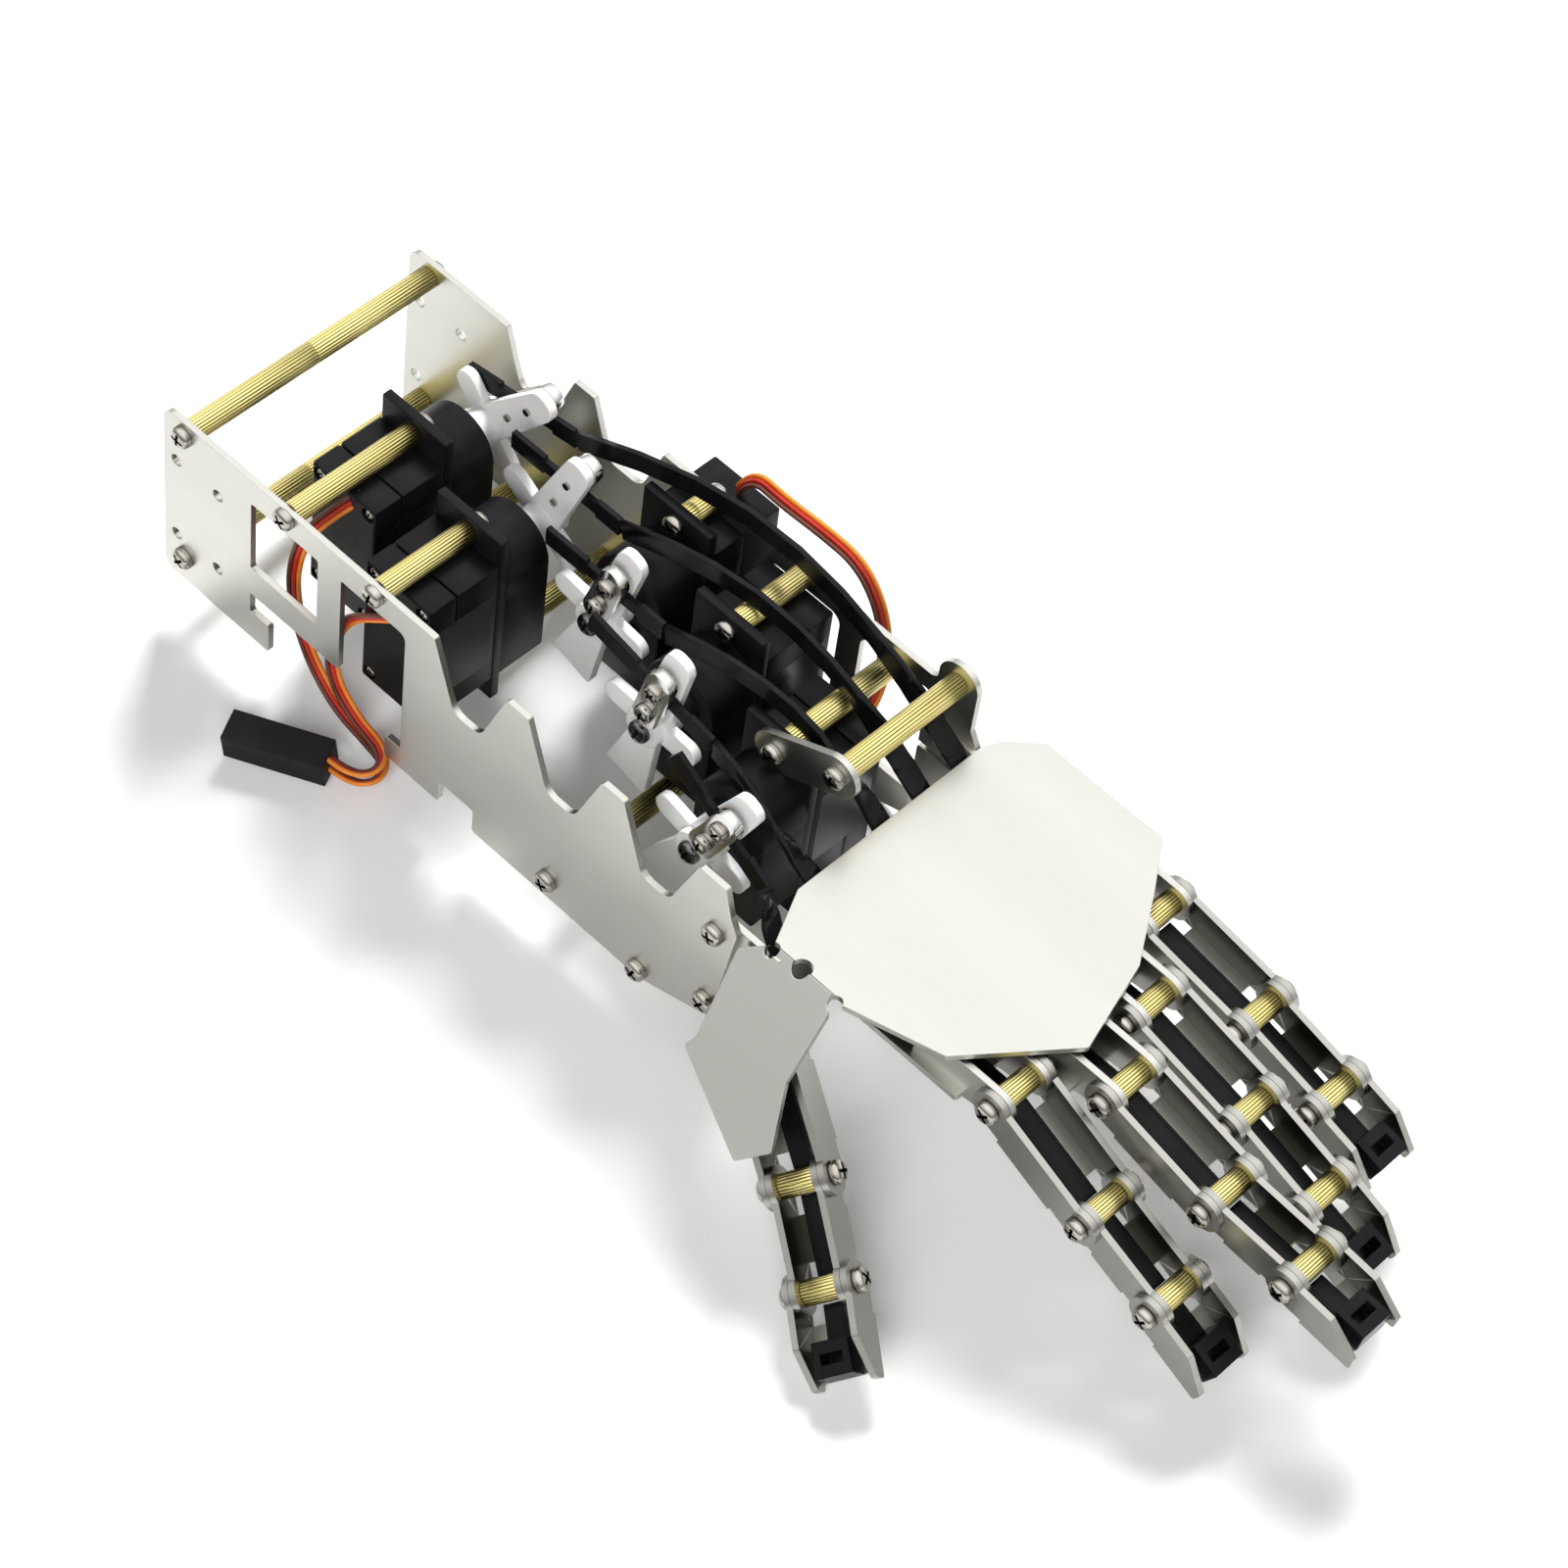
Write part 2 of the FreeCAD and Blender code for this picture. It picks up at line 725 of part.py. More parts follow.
# Skirt along the outer edge of the thumb flange and the two cheeks of the thumb root
edge_along = (on_flange(0)(flange_toe_x, flange_toe) - on_flange(0)(flange_heel_x, flange_heel))
skirt_length = edge_along.Length - 2 * sheet
edge_along.normalize()
edge_across = flange_out.cross(edge_along)
skirt = placed(block(sheet, sheet + skirt_length, 0, sheet, -skirt_depth, -sheet / 2),
               seat(on_flange(0)(flange_heel_x, flange_heel), edge_along, edge_across, flange_out))
thumb_origin = on_flange(thumb_root_depth)(thumb_root_x, thumb_root)
thumb_seat = seat(thumb_origin, thumb_along, thumb_axis, flange_out)
cheeks = []
for side in (-1, 1):
    inner_y = side * spacer_half
    if side < 0:
        inner_y = inner_y - sheet
    cheek = slab([
        (-thumb_cheek_back, thumb_root_depth - sheet / 2, 0),
        (-thumb_cheek_back, -end_radius, edge_corner),
        (end_radius, -end_radius, end_radius * full_round),
        (end_radius, thumb_root_depth - sheet / 2, 0),
    ], side_view(inner_y), vec(0, sheet, 0))
    cheek = cheek.cut(across(0, 0, -outer_out, outer_out, pivot_radius + pivot_clearance))
    cheeks.append(placed(cheek, thumb_seat))
palm = fuse([palm, skirt] + cheeks)
save("palm_plate", palm)

# Knuckle frame: lower palm plate, wrist tabs and the cheeks that carry the fingers
knuckles = {
    "index": (index_knuckle_x, index_y),
    "middle": (middle_knuckle_x, index_y + finger_pitch),
    "ring": (ring_knuckle_x, index_y + 2 * finger_pitch),
    "pinky": (pinky_knuckle_x, index_y + 3 * finger_pitch),
}
lower_bottom = lower_plate_top - sheet
lower_right_y = palm_right_y - sheet
half_pitch = finger_pitch / 2
lower_corners = [
    (lower_plate_rear, inner_half - sheet / 2, 0),
    (lower_plate_rear, -inner_half + sheet / 2, 0),
    (wrist_tab_end, -inner_half + sheet / 2, edge_corner),
    (wrist_tab_end + palm_bevel, lower_left_y, edge_corner),
    (index_knuckle_x - plate_setback, lower_left_y, edge_corner),
    (index_knuckle_x - plate_setback, index_y + half_pitch, edge_corner),
    (middle_knuckle_x - plate_setback, index_y + half_pitch, edge_corner),
    (middle_knuckle_x - plate_setback, index_y + 3 * half_pitch, edge_corner),
    (ring_knuckle_x - plate_setback, index_y + 3 * half_pitch, edge_corner),
    (ring_knuckle_x - plate_setback, index_y + 5 * half_pitch, edge_corner),
    (pinky_knuckle_x - plate_setback, index_y + 5 * half_pitch, edge_corner),
    (pinky_knuckle_x - plate_setback, lower_right_y, edge_corner),
    (lower_right_start, lower_right_y, edge_corner),
    (wrist_tab_end, inner_half - sheet / 2, edge_corner),
]
frame_parts = [slab(lower_corners, top_view(lower_bottom), vec(0, 0, sheet))]
for side in (-1, 1):
    tab_y = inner_half - sheet
    if side < 0:
        tab_y = -inner_half
    tab = slab([
        (wrist_tab_start, chin_tip_z, edge_corner),
        (wrist_tab_start, lower_plate_top - sheet / 2, edge_corner),
        (wrist_tab_end, lower_plate_top - sheet / 2, 0),
        (wrist_tab_end, lower_bottom - sheet, edge_corner),
        (front_end - sheet, chin_tip_z, edge_corner),
    ], side_view(tab_y), vec(0, sheet, 0))
    tab = tab.cut(across(wrist_screw_x, wrist_screw_low, tab_y - cut_margin, tab_y + sheet + cut_margin,
                         hole_radius))
    frame_parts.append(tab)
for name, (x, y) in knuckles.items():
    for side in (-1, 1):
        inner_y = y + side * spacer_half
        if side < 0:
            inner_y = inner_y - sheet
        cheek = slab([
            (x - cheek_reach, lower_bottom, 0),
            (x - plate_setback, lower_bottom, edge_corner),
            (x - end_radius * cheek_toe_share, knuckle_z - end_radius, edge_corner),
            (x + end_radius, knuckle_z - end_radius, end_radius * near_round),
            (x + end_radius, knuckle_z + end_radius, end_radius * near_round),
            (x - cheek_reach, knuckle_z + end_radius, edge_corner),
        ], side_view(inner_y), vec(0, sheet, 0))
        cheek = cheek.cut(across(x, knuckle_z, inner_y - cut_margin, inner_y + sheet + cut_margin,
                                 pivot_radius + pivot_clearance))
        frame_parts.append(cheek)
save("knuckle_frame", fuse(frame_parts))


# Pivot parts in the axes of a joint: pin along Y
def spacer():
    return across(0, 0, -spacer_half, spacer_half, spacer_radius)


def pivot_screw(side):
    head = across(0, 0, side * head_in, side * head_out, head_radius)
    stem = across(0, 0, side * spacer_half, side * head_in, pivot_radius)
    return fuse([head, stem])


root_seats = [seat(vec(x, y, knuckle_z), vec(1, 0, 0), vec(0, 1, 0), vec(0, 0, 1))
              for x, y in knuckles.values()]
root_seats.append(thumb_seat)
save("knuckle_spacers", group([placed(spacer(), place) for place in root_seats]))
save("knuckle_screws", group([placed(pivot_screw(side), place)
                              for place in root_seats for side in (-1, 1)]))


# Channel link from its first pin at the origin to its second pin on +X, open side up
def channel(length, half_in):
    half_out = half_in + sheet
    web = block(web_setback, length - web_setback, -half_out, half_out, -cheek_drop, -cheek_drop + sheet)
    shapes = [web]
    for start in (-half_out, half_in):
        side = slab([
            (0, -end_radius, 0),
            (web_setback, -end_radius, 0),
            (web_setback, -cheek_drop, 0),
            (length - web_setback, -cheek_drop, 0),
            (length - web_setback, -end_radius, 0),
            (length, -end_radius, 0),
            (length, cheek_rise, 0),
            (0, cheek_rise, 0),
        ], side_view(start), vec(0, sheet, 0))
        for x in (0, length):
            side = side.fuse(across(x, 0, start, start + sheet, end_radius))
        side = side.removeSplitter()
        for x in (0, length):
            side = side.cut(across(x, 0, start - cut_margin, start + sheet + cut_margin,
                                   pivot_radius + pivot_clearance))
        shapes.append(side)
    return fuse(shapes)


# Fingertip link with its first pin at the origin and a sloping nose
def fingertip(half_in):
    half_out = half_in + sheet
    web = block(web_setback, tip_length - tip_nose, -half_out, half_out, -cheek_drop, -cheek_drop + sheet)
    shapes = [web]
    for start in (-half_out, half_in):
        side = slab([
            (0, -end_radius, 0),
            (web_setback, -end_radius, 0),
            (web_setback, -cheek_drop, 0),
            (tip_length, -cheek_drop, edge_corner),
            (tip_length, -cheek_drop + 2 * sheet, edge_corner),
            (tip_top_length, cheek_rise, edge_corner),
            (0, cheek_rise, 0),
        ], side_view(start), vec(0, sheet, 0))
        side = side.fuse(across(0, 0, start, start + sheet, end_radius)).removeSplitter()
        side = side.cut(across(0, 0, start - cut_margin, start + sheet + cut_margin,
                               pivot_radius + pivot_clearance))
        shapes.append(side)
    return fuse(shapes)


def tie_head():
    end = tie_head_start + tie_head_length
    floor = -cheek_drop + sheet
    shape = block(tie_head_start, end, -tie_head_half, tie_head_half, floor, tie_head_rise)
    middle = (tie_head_start + end) / 2
    window = block(middle - tie_head_window / 2, middle + tie_head_window / 2,
                   -tie_width / 2 - tie_side_gap, tie_width / 2 + tie_side_gap,
                   floor + sheet, tie_head_rise + cut_margin)
    return shape.cut(window)


def turned(along, axis, angle):
    # The direction that a link takes after bending by an angle about its pin.
    return FreeCAD.Rotation(axis, angle).multVec(along)


# Chains of the fingers
first_link = channel(first_length, outer_in)
second_link = channel(second_length, spacer_half)
last_link = fingertip(outer_in)
head_shape = tie_head()
bends = {
    "index": (index_droop, index_bend, fingertip_bend),
    "middle": (middle_droop, middle_bend, fingertip_bend),
    "ring": (ring_droop, ring_bend, fingertip_bend),
    "pinky": (pinky_droop, pinky_bend, fingertip_bend),
    "thumb": (thumb_droop, thumb_bend, thumb_tip_bend),
}
pins = {}
for name, (first_bend, second_bend, last_bend) in bends.items():
    if name == "thumb":
        origin = thumb_origin
        along = thumb_along
        axis = thumb_axis
    else:
        origin = vec(knuckles[name][0], knuckles[name][1], knuckle_z)
        along = vec(1, 0, 0)
        axis = vec(0, 1, 0)
    along = turned(along, axis, first_bend)
    first_seat = seat(origin, along, axis, along.cross(axis))
    save(name + "_proximal_link", placed(first_link, first_seat))
    second_origin = origin + along * first_length
    along = turned(along, axis, second_bend)
    second_seat = seat(second_origin, along, axis, along.cross(axis))
    save(name + "_middle_link", placed(second_link, second_seat))
    third_origin = second_origin + along * second_length
    pivots = []
    for place in (second_origin, third_origin):
        pivot_seat = seat(place, along, axis, along.cross(axis))
        pivots.append(placed(spacer(), pivot_seat))
        pivots.append(placed(pivot_screw(-1), pivot_seat))
        pivots.append(placed(pivot_screw(1), pivot_seat))
    save(name + "_pivots", group(pivots))
    along = turned(along, axis, last_bend)
    third_seat = seat(third_origin, along, axis, along.cross(axis))
    save(name + "_tip_link", placed(last_link, third_seat))
    save(name + "_tie_head", placed(head_shape, third_seat))
    pins[name] = (origin, second_origin, third_origin, axis)


# Horn in its own axes: hub along Y away from the servo, clamp arm along +Z
arm_start = arm_setback
arm_end = arm_setback + arm_thickness
strip_gap = tie_thickness + 2 * tie_side_gap
plate_start = arm_end + strip_gap
clamp_middle = (clamp_inner_screw + clamp_outer_screw) / 2


def horn():
    hub = across(0, 0, 0, hub_length, hub_radius)
    push = vec(0, arm_thickness, 0)
    view = side_view(arm_start)
    half = clamp_arm_width / 2
    long_arm = slab([
        (-hub_radius, 0, 0),
        (hub_radius, 0, 0),
        (half, clamp_arm_length, half * arm_round),
        (-half, clamp_arm_length, half * arm_round),
    ], view, push)
    flare = slab([
        (-side_arm_width / 2, 0, 0),
        (side_arm_width / 2, 0, 0),
        (flare_width / 2, -flare_length, edge_corner),
        (-flare_width / 2, -flare_length, edge_corner),
    ], view, push)
    reach = side_arm_length - side_arm_width / 2
    drop = side_arm_lean
    left_arm = obround((0, 0), (-reach, drop / 2), side_arm_width / 2, view, push)
    right_arm = obround((0, 0), (reach, -drop / 2), side_arm_width / 2, view, push)
    shape = fuse([hub, long_arm, flare, left_arm, right_arm])
    bore = across(0, 0, -cut_margin, hub_length / 2 + shaft_fit, shaft_radius + shaft_fit)
    return shape.cut(bore)


def horn_clamp():
    plate = obround((0, clamp_middle - (clamp_length - clamp_width) / 2),
                    (0, clamp_middle + (clamp_length - clamp_width) / 2),
                    clamp_width / 2, side_view(plate_start), vec(0, clamp_thickness, 0))
    shapes = []
    for z in (clamp_inner_screw, clamp_outer_screw):
        plate = plate.cut(across(0, z, plate_start - cut_margin, plate_start + clamp_thickness + cut_margin,
                                 clamp_shank_radius))
        stem = across(0, z, arm_end, plate_start + clamp_thickness, clamp_shank_radius)
        head = across(0, z, plate_start + clamp_thickness, plate_start + clamp_thickness + clamp_head,
                      clamp_screw_radius)
        shapes.append(fuse([stem, head]))
    shapes.append(plate)
    shapes.append(across(0, 0, hub_length, hub_length + hub_screw_head, hub_screw_radius))
    return group(shapes)


# Moving run of a tie in the axes of its clamp: pivot at the origin, strip along X, faces across Y
def tie(tail):
    half = tie_width / 2
    neck = tie_neck_width / 2
    thin = tie_thickness / 2
    return slab([
        (-tail, -half, 0),
        (-tie_neck_length, -half, 0),
        (-tie_neck_length, -neck, 0),
        (tie_neck_length, -neck, 0),
        (tie_neck_length, -half, 0),
        (tie_run, -half, 0),
        (tie_run, half, 0),
        (tie_neck_length, half, 0),
        (tie_neck_length, neck, 0),
        (-tie_neck_length, neck, 0),
        (-tie_neck_length, half, 0),
        (-tail, half, 0),
    ], side_view(-thin), vec(0, tie_thickness, 0))


# Still run of a tie from its moving run to the palm, on edge until its flat face turns up at the end
def front_run(start, end, arch, sway, fall, facing):
    half = tie_width / 2
    thin = tie_thickness / 2

    def centre(part):
        swell = math.sin(math.pi * part)
        return vec(start.x + (end.x - start.x) * part,
                   start.y + (end.y - start.y) * math.sin(math.pi * part / 2) + sway * swell * (1 - part),
                   start.z + (end.z - start.z) * part ** fall + arch * swell)

    wires = []
    for count in range(tie_steps + 1):
        part = math.sin(math.pi / 2 * count / tie_steps)
        middle = centre(part)
        ahead = centre(part + tie_probe) - middle
        ahead.normalize()
        flat = vec(0, 1, 0)
        upright = ahead.cross(flat)
        left = end.x - middle.x
        twist = min(tie_twist_length, end.x - start.x - tie_flat_length)
        turn = math.pi / 2 * min(1.0, max(0.0, 1 - (left - tie_flat_length) / twist))
        up = upright * math.cos(turn) + flat * math.sin(turn) * facing
        side = flat * math.cos(turn) - upright * math.sin(turn) * facing
        corners = [middle + up * half + side * thin, middle + up * half - side * thin,
                   middle - up * half - side * thin, middle - up * half + side * thin]
        wires.append(Part.makePolygon(corners + corners[:1]))
    return Part.makeLoft(wires, True, True)


horn_shape = horn()
clamp_shape = horn_clamp()
horn_base = tab_thickness + gear_depth + boss_height + horn_gap
tie_offset = horn_base + arm_end + strip_gap / 2
tie_paths = {
    "pinky": (inner_half - pinky_tie_inset, pinky_tie_pitch, pinky_tie_tail, pinky_tie_arch, pinky_tie_sway,
              pinky_tie_fall),
    "ring": (inner_half - ring_tie_inset, ring_tie_pitch, ring_tie_tail, ring_tie_arch, ring_tie_sway,
             ring_tie_fall),
    "middle": (inner_half - middle_tie_inset, middle_tie_pitch, middle_tie_tail, middle_tie_arch,
               middle_tie_sway, middle_tie_fall),
    "index": (index_tie_inset - inner_half, index_tie_pitch, index_tie_tail, index_tie_arch, index_tie_sway,
              index_tie_fall),
    "thumb": (thumb_tie_inset - inner_half, thumb_tie_pitch, thumb_tie_tail, thumb_tie_arch, thumb_tie_sway,
              thumb_tie_fall),
}
front_runs = []
for name, (x, z, tab_y, facing, angle) in stations.items():
    tilt = math.radians(angle)
    hub_z = z + shaft_rise
    upward = vec(math.sin(tilt), 0, math.cos(tilt))
    outward = vec(0, facing, 0)
    along = outward.cross(upward)
    place = seat(vec(x, tab_y + facing * horn_base, hub_z), along, outward, upward)
    save(name + "_horn", placed(horn_shape, place))
    save(name + "_horn_clamp", placed(clamp_shape, place))
    pivot = vec(x, tab_y + facing * tie_offset, hub_z) + upward * clamp_middle
    end_y, pitch, tail, arch, sway, fall = tie_paths[name]
    end_z = tie_end_z
    if name == "thumb":
        end_z = thumb_tie_end_z
    ahead = vec(math.cos(math.radians(pitch)), 0, -math.sin(math.radians(pitch)))
    tie_place = seat(pivot, ahead, vec(0, 1, 0), ahead.cross(vec(0, 1, 0)))
    save(name + "_tie", placed(tie(tail), tie_place))
    start = pivot + ahead * (tie_run + tie_split)
    front_runs.append(front_run(start, vec(tie_end_x, end_y, end_z), arch, sway, fall, facing))
    print(name, "tie pivot", round(pivot.x, 3), round(pivot.y, 3), round(pivot.z, 3),
          "hub", round(x, 3), round(hub_z, 3))
save("tie_front_runs", group(front_runs))


# Servo leads: straight runs joined by tangent arcs through points chosen along each lead
def lead(name, points):
    route = [vec(x, y, z) for x, y, z in points]
    edges = []
    radii = []
    last = route[0]
    length = 0.0
    for before, here, after in zip(route, route[1:], route[2:]):
        arriving = here - before
        leaving = after - here
        reach = lead_bend_share * min(arriving.Length, leaving.Length)
        half_turn = arriving.getAngle(leaving) / 2
        arriving.normalize()
        leaving.normalize()
        inward = leaving - arriving
        inward.normalize()
        radius = reach / math.tan(half_turn)
        first = here - arriving * reach
        second = here + leaving * reach
        middle = here + inward * (radius / math.cos(half_turn) - radius)
        edges.append(Part.LineSegment(last, first).toShape())
        edges.append(Part.Arc(first, middle, second).toShape())
        length += (first - last).Length + radius * 2 * half_turn
        radii.append(round(radius, 1))
        last = second
    edges.append(Part.LineSegment(last, route[-1]).toShape())
    length += (route[-1] - last).Length
    ring = Part.Wire(Part.makeCircle(lead_radius, route[0], route[1] - route[0]))
    tube = Part.Wire(edges).makePipeShell([ring], True, False)
    print(name, "length", round(length, 1), "bend radii", radii,
          "volume share", round(tube.Volume / (math.pi * lead_radius ** 2 * length), 4))
    return tube


rear_lead_points = [
    (42.5, -17.5, 46.0),
    (37.0, -26.5, 39.0),
    (34.0, -29.3, 26.5),
    (34.5, -29.8, 13.0),
    (40.5, -30.5, 0.5),
    (51.0, -31.8, -6.6),
    (62.0, -32.6, -7.6),
    (69.6, -33.6, -7.7),
    (71.7, -38.6, -8.5),
    (67.5, -42.6, -9.1),
    (61.8, -42.9, -9.0),
]
front_lead_points = [
    (73.0, -28.2, 40.5),
    (63.0, -32.6, 36.0),
    (54.0, -32.3, 27.0),
    (49.3, -32.2, 14.5),
    (50.5, -32.4, 3.0),
    (58.5, -33.0, -3.2),
    (69.6, -34.1, -3.9),
    (71.7, -39.1, -4.7),
    (67.5, -43.1, -5.3),
    (61.8, -43.4, -5.2),
]
right_lead_points = [
    (94.0, 43.5, 45.0),
    (97.0, 44.0, 55.0),
    (106.0, 45.5, 52.0),
    (117.0, 47.0, 50.5),
    (127.0, 48.0, 48.5),
    (135.0, 47.5, 41.0),
    (139.5, 46.0, 30.0),
    (142.5, 41.0, 22.5),
    (144.2, 32.0, 18.0),
]
surface = math.radians(surface_slope)
plug_turn = math.radians(plug_heading)
surface_up = vec(0, -math.sin(surface), math.cos(surface))
plug_along = vec(-math.cos(plug_turn), -math.sin(plug_turn) * math.cos(surface),
                 -math.sin(plug_turn) * math.sin(surface))
plug_across = surface_up.cross(plug_along)
plug_seat = seat(vec(*rear_lead_points[-1]), plug_along, plug_across, surface_up)
plugs = []
for level in (0, 1):
    bottom = plug_height * (2 * level - 1) / 2
    for first, second in ((0, plug_split), (plug_split, plug_length)):
        plugs.append(placed(block(first, second, -plug_width / 2, plug_width / 2, bottom, bottom + plug_height),
                            plug_seat))
save("lead_plugs", group(plugs))
inner_plug = block(inner_plug_x - inner_plug_width / 2, inner_plug_x + inner_plug_width / 2,
                   thumb_tab_y + body_depth, thumb_tab_y + body_depth + inner_plug_length,
                   inner_plug_z - inner_plug_height / 2, inner_plug_z + inner_plug_height / 2)
save("inner_plug", inner_plug)
save("rear_lead", lead("rear_lead", rear_lead_points).cut(left_servos).cut(group(plugs)))
save("front_lead", lead("front_lead", front_lead_points).cut(left_servos).cut(group(plugs)))
save("right_lead", lead("right_lead", right_lead_points).cut(right_servos).cut(inner_plug))

for name, (first, second, third, axis) in pins.items():
    for label, point in (("first", first), ("second", second), ("third", third)):
        print(name, label, "pin", round(point.x, 3), round(point.y, 3), round(point.z, 3))
    print(name, "axis", round(axis.x, 5), round(axis.y, 5), round(axis.z, 5))
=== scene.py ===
# Left robot hand: channel-link fingers, forearm servos and flat ties between two sheet plates.
import json
import math

import bmesh
import bpy
import numpy as np
from mathutils import Matrix, Vector


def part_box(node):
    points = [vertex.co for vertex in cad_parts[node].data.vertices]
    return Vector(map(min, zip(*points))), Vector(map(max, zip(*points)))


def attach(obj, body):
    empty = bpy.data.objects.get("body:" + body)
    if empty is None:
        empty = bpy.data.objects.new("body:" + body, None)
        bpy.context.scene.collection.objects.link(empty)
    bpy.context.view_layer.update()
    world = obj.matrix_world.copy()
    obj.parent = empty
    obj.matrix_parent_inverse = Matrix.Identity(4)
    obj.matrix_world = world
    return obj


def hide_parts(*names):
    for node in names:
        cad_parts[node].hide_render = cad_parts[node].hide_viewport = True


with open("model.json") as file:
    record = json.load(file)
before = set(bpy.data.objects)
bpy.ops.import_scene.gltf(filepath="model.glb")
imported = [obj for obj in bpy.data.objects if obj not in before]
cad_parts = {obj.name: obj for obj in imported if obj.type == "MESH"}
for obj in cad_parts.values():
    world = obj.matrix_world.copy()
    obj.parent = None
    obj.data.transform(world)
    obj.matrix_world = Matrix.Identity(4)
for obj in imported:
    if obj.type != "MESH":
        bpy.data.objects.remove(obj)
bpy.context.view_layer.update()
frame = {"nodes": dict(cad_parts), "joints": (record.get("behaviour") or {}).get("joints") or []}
mm = 0.001
touching = 1e-6      # corners nearer than this, in metres, are one
root = "hand_frame"
sideways = (0.0, 1.0, 0.0)
still = Matrix.Identity(4)
leftServos = ["pinky", "ring"]
rightServos = ["middle", "index", "thumb"]
fingers = leftServos + rightServos
joints = {joint["name"]: joint for joint in frame["joints"]}
print("frame loaded:", len(frame["nodes"]), "nodes")


# Materials: colour, roughness and bump come from noise, which may be stretched along a grain
noise = {"cloudDetail": 4.0, "grainDetail": 3.0, "shadeFrom": 0.35, "shadeTo": 0.65, "bumpDepth": 0.05 * mm,
         "bevelSamples": 4}


def addNoise(nodes, links, place, scale, detail):
    made = nodes.new("ShaderNodeTexNoise")
    made.inputs["Scale"].default_value = scale
    made.inputs["Detail"].default_value = detail
    links.new(place, made.inputs["Vector"])
    return made.outputs["Fac"]


def addShades(nodes, links, factor, low, high, start=0.0, end=1.0):
    # Two shades of one colour, mixed by a factor
    ramp = nodes.new("ShaderNodeValToRGB")
    ramp.color_ramp.elements[0].position = start
    ramp.color_ramp.elements[1].position = end
    ramp.color_ramp.elements[0].color = (*low, 1.0)
    ramp.color_ramp.elements[1].color = (*high, 1.0)
    links.new(factor, ramp.inputs["Fac"])
    return ramp.outputs["Color"]


def addPaintedGrooveShade(nodes, links, color, shade):
    # Painted shade for grooves: a darker colour mixed in by a factor stored on the mesh (inputs 6 and 7 are
    # the mixed colours)
    stored = nodes.new("ShaderNodeAttribute")
    stored.attribute_name = "paintedGrooveShade"
    mix = nodes.new("ShaderNodeMix")
    mix.data_type = "RGBA"
    links.new(stored.outputs["Fac"], mix.inputs[0])
    links.new(color, mix.inputs[6])
    mix.inputs[7].default_value = (*shade, 1.0)
    return mix.outputs[2]


def finish(look):
    material = bpy.data.materials.new(look["name"])
    material.use_nodes = True
    nodes = material.node_tree.nodes
    links = material.node_tree.links
    shader = nodes["Principled BSDF"]
    shader.inputs["Metallic"].default_value = look.get("metallic", 0.0)
    shader.inputs["Specular IOR Level"].default_value = look.get("specular", 0.5)
    shader.inputs["Subsurface Weight"].default_value = look.get("subsurface", 0.0)
    shader.inputs["Subsurface Scale"].default_value = look.get("depth", 1.0) * mm
    place = nodes.new("ShaderNodeTexCoord")
    stretch = nodes.new("ShaderNodeMapping")
    stretch.inputs["Scale"].default_value = look.get("stretch", (1.0, 1.0, 1.0))
    links.new(place.outputs["Object"], stretch.inputs["Vector"])
    cloud = addNoise(nodes, links, stretch.outputs["Vector"], look["cloud"], noise["cloudDetail"])
    color = addShades(nodes, links, cloud, look["low"], look["high"], noise["shadeFrom"], noise["shadeTo"])
    # painted shade in the grooves, where the look has it
    if "paintedGrooveShade" in look:
        color = addPaintedGrooveShade(nodes, links, color, look["paintedGrooveShade"])
    links.new(color, shader.inputs["Base Color"])
    grain = addNoise(nodes, links, stretch.outputs["Vector"], look["grain"], noise["grainDetail"])
    rough = nodes.new("ShaderNodeMapRange")
    rough.inputs["To Min"].default_value = look["rough"][0]
    rough.inputs["To Max"].default_value = look["rough"][1]
    links.new(grain, rough.inputs["Value"])
    links.new(rough.outputs["Result"], shader.inputs["Roughness"])
    bump = nodes.new("ShaderNodeBump")
    bump.inputs["Strength"].default_value = look["bump"]
    bump.inputs["Distance"].default_value = noise["bumpDepth"]
    links.new(grain, bump.inputs["Height"])
    if "bevel" in look:
        rounded = nodes.new("ShaderNodeBevel")
        rounded.samples = noise["bevelSamples"]
        rounded.inputs["Radius"].default_value = look["bevel"] * mm
        links.new(rounded.outputs["Normal"], bump.inputs["Normal"])
    links.new(bump.outputs["Normal"], shader.inputs["Normal"])
    return material


satinSheet = finish({
    "name": "satinSheet", "metallic": 1.0, "low": (0.555, 0.552, 0.51), "high": (0.58, 0.577, 0.535),
    "bevel": 0.25, "rough": (0.26, 0.38), "stretch": (0.1, 1.0, 1.0), "grain": 1500.0, "bump": 0.12,
    "cloud": 60.0})
satinLink = finish({
    "name": "satinLink", "metallic": 1.0, "low": (0.40, 0.395, 0.365), "high": (0.42, 0.415, 0.385),
    "rough": (0.30, 0.34), "grain": 300.0, "bump": 0.0, "cloud": 40.0})
# Painted shade: a darker copy of the link metal for the channel's inner walls and web
paintedShadeLink = finish({
    "name": "linkPaintedShade", "metallic": 1.0, "low": (0.10, 0.098, 0.085), "high": (0.13, 0.127, 0.112),
    "rough": (0.30, 0.34), "grain": 300.0, "bump": 0.0, "cloud": 40.0})
# Knurled brass; its groove colour is painted shade, mixed into the knurl valleys
knurledBrass = finish({
    "name": "knurledBrass", "metallic": 1.0, "low": (0.78, 0.66, 0.24), "high": (0.92, 0.80, 0.34),
    "rough": (0.22, 0.36), "stretch": (1.0, 0.1, 1.0), "grain": 1800.0, "bump": 0.15, "cloud": 220.0,
    "paintedGrooveShade": (0.05, 0.035, 0.01)})
nickel = finish({
    "name": "nickelScrew", "metallic": 1.0, "low": (0.38, 0.36, 0.32), "high": (0.48, 0.46, 0.42),
    "rough": (0.14, 0.26), "grain": 1200.0, "bump": 0.06, "cloud": 300.0})
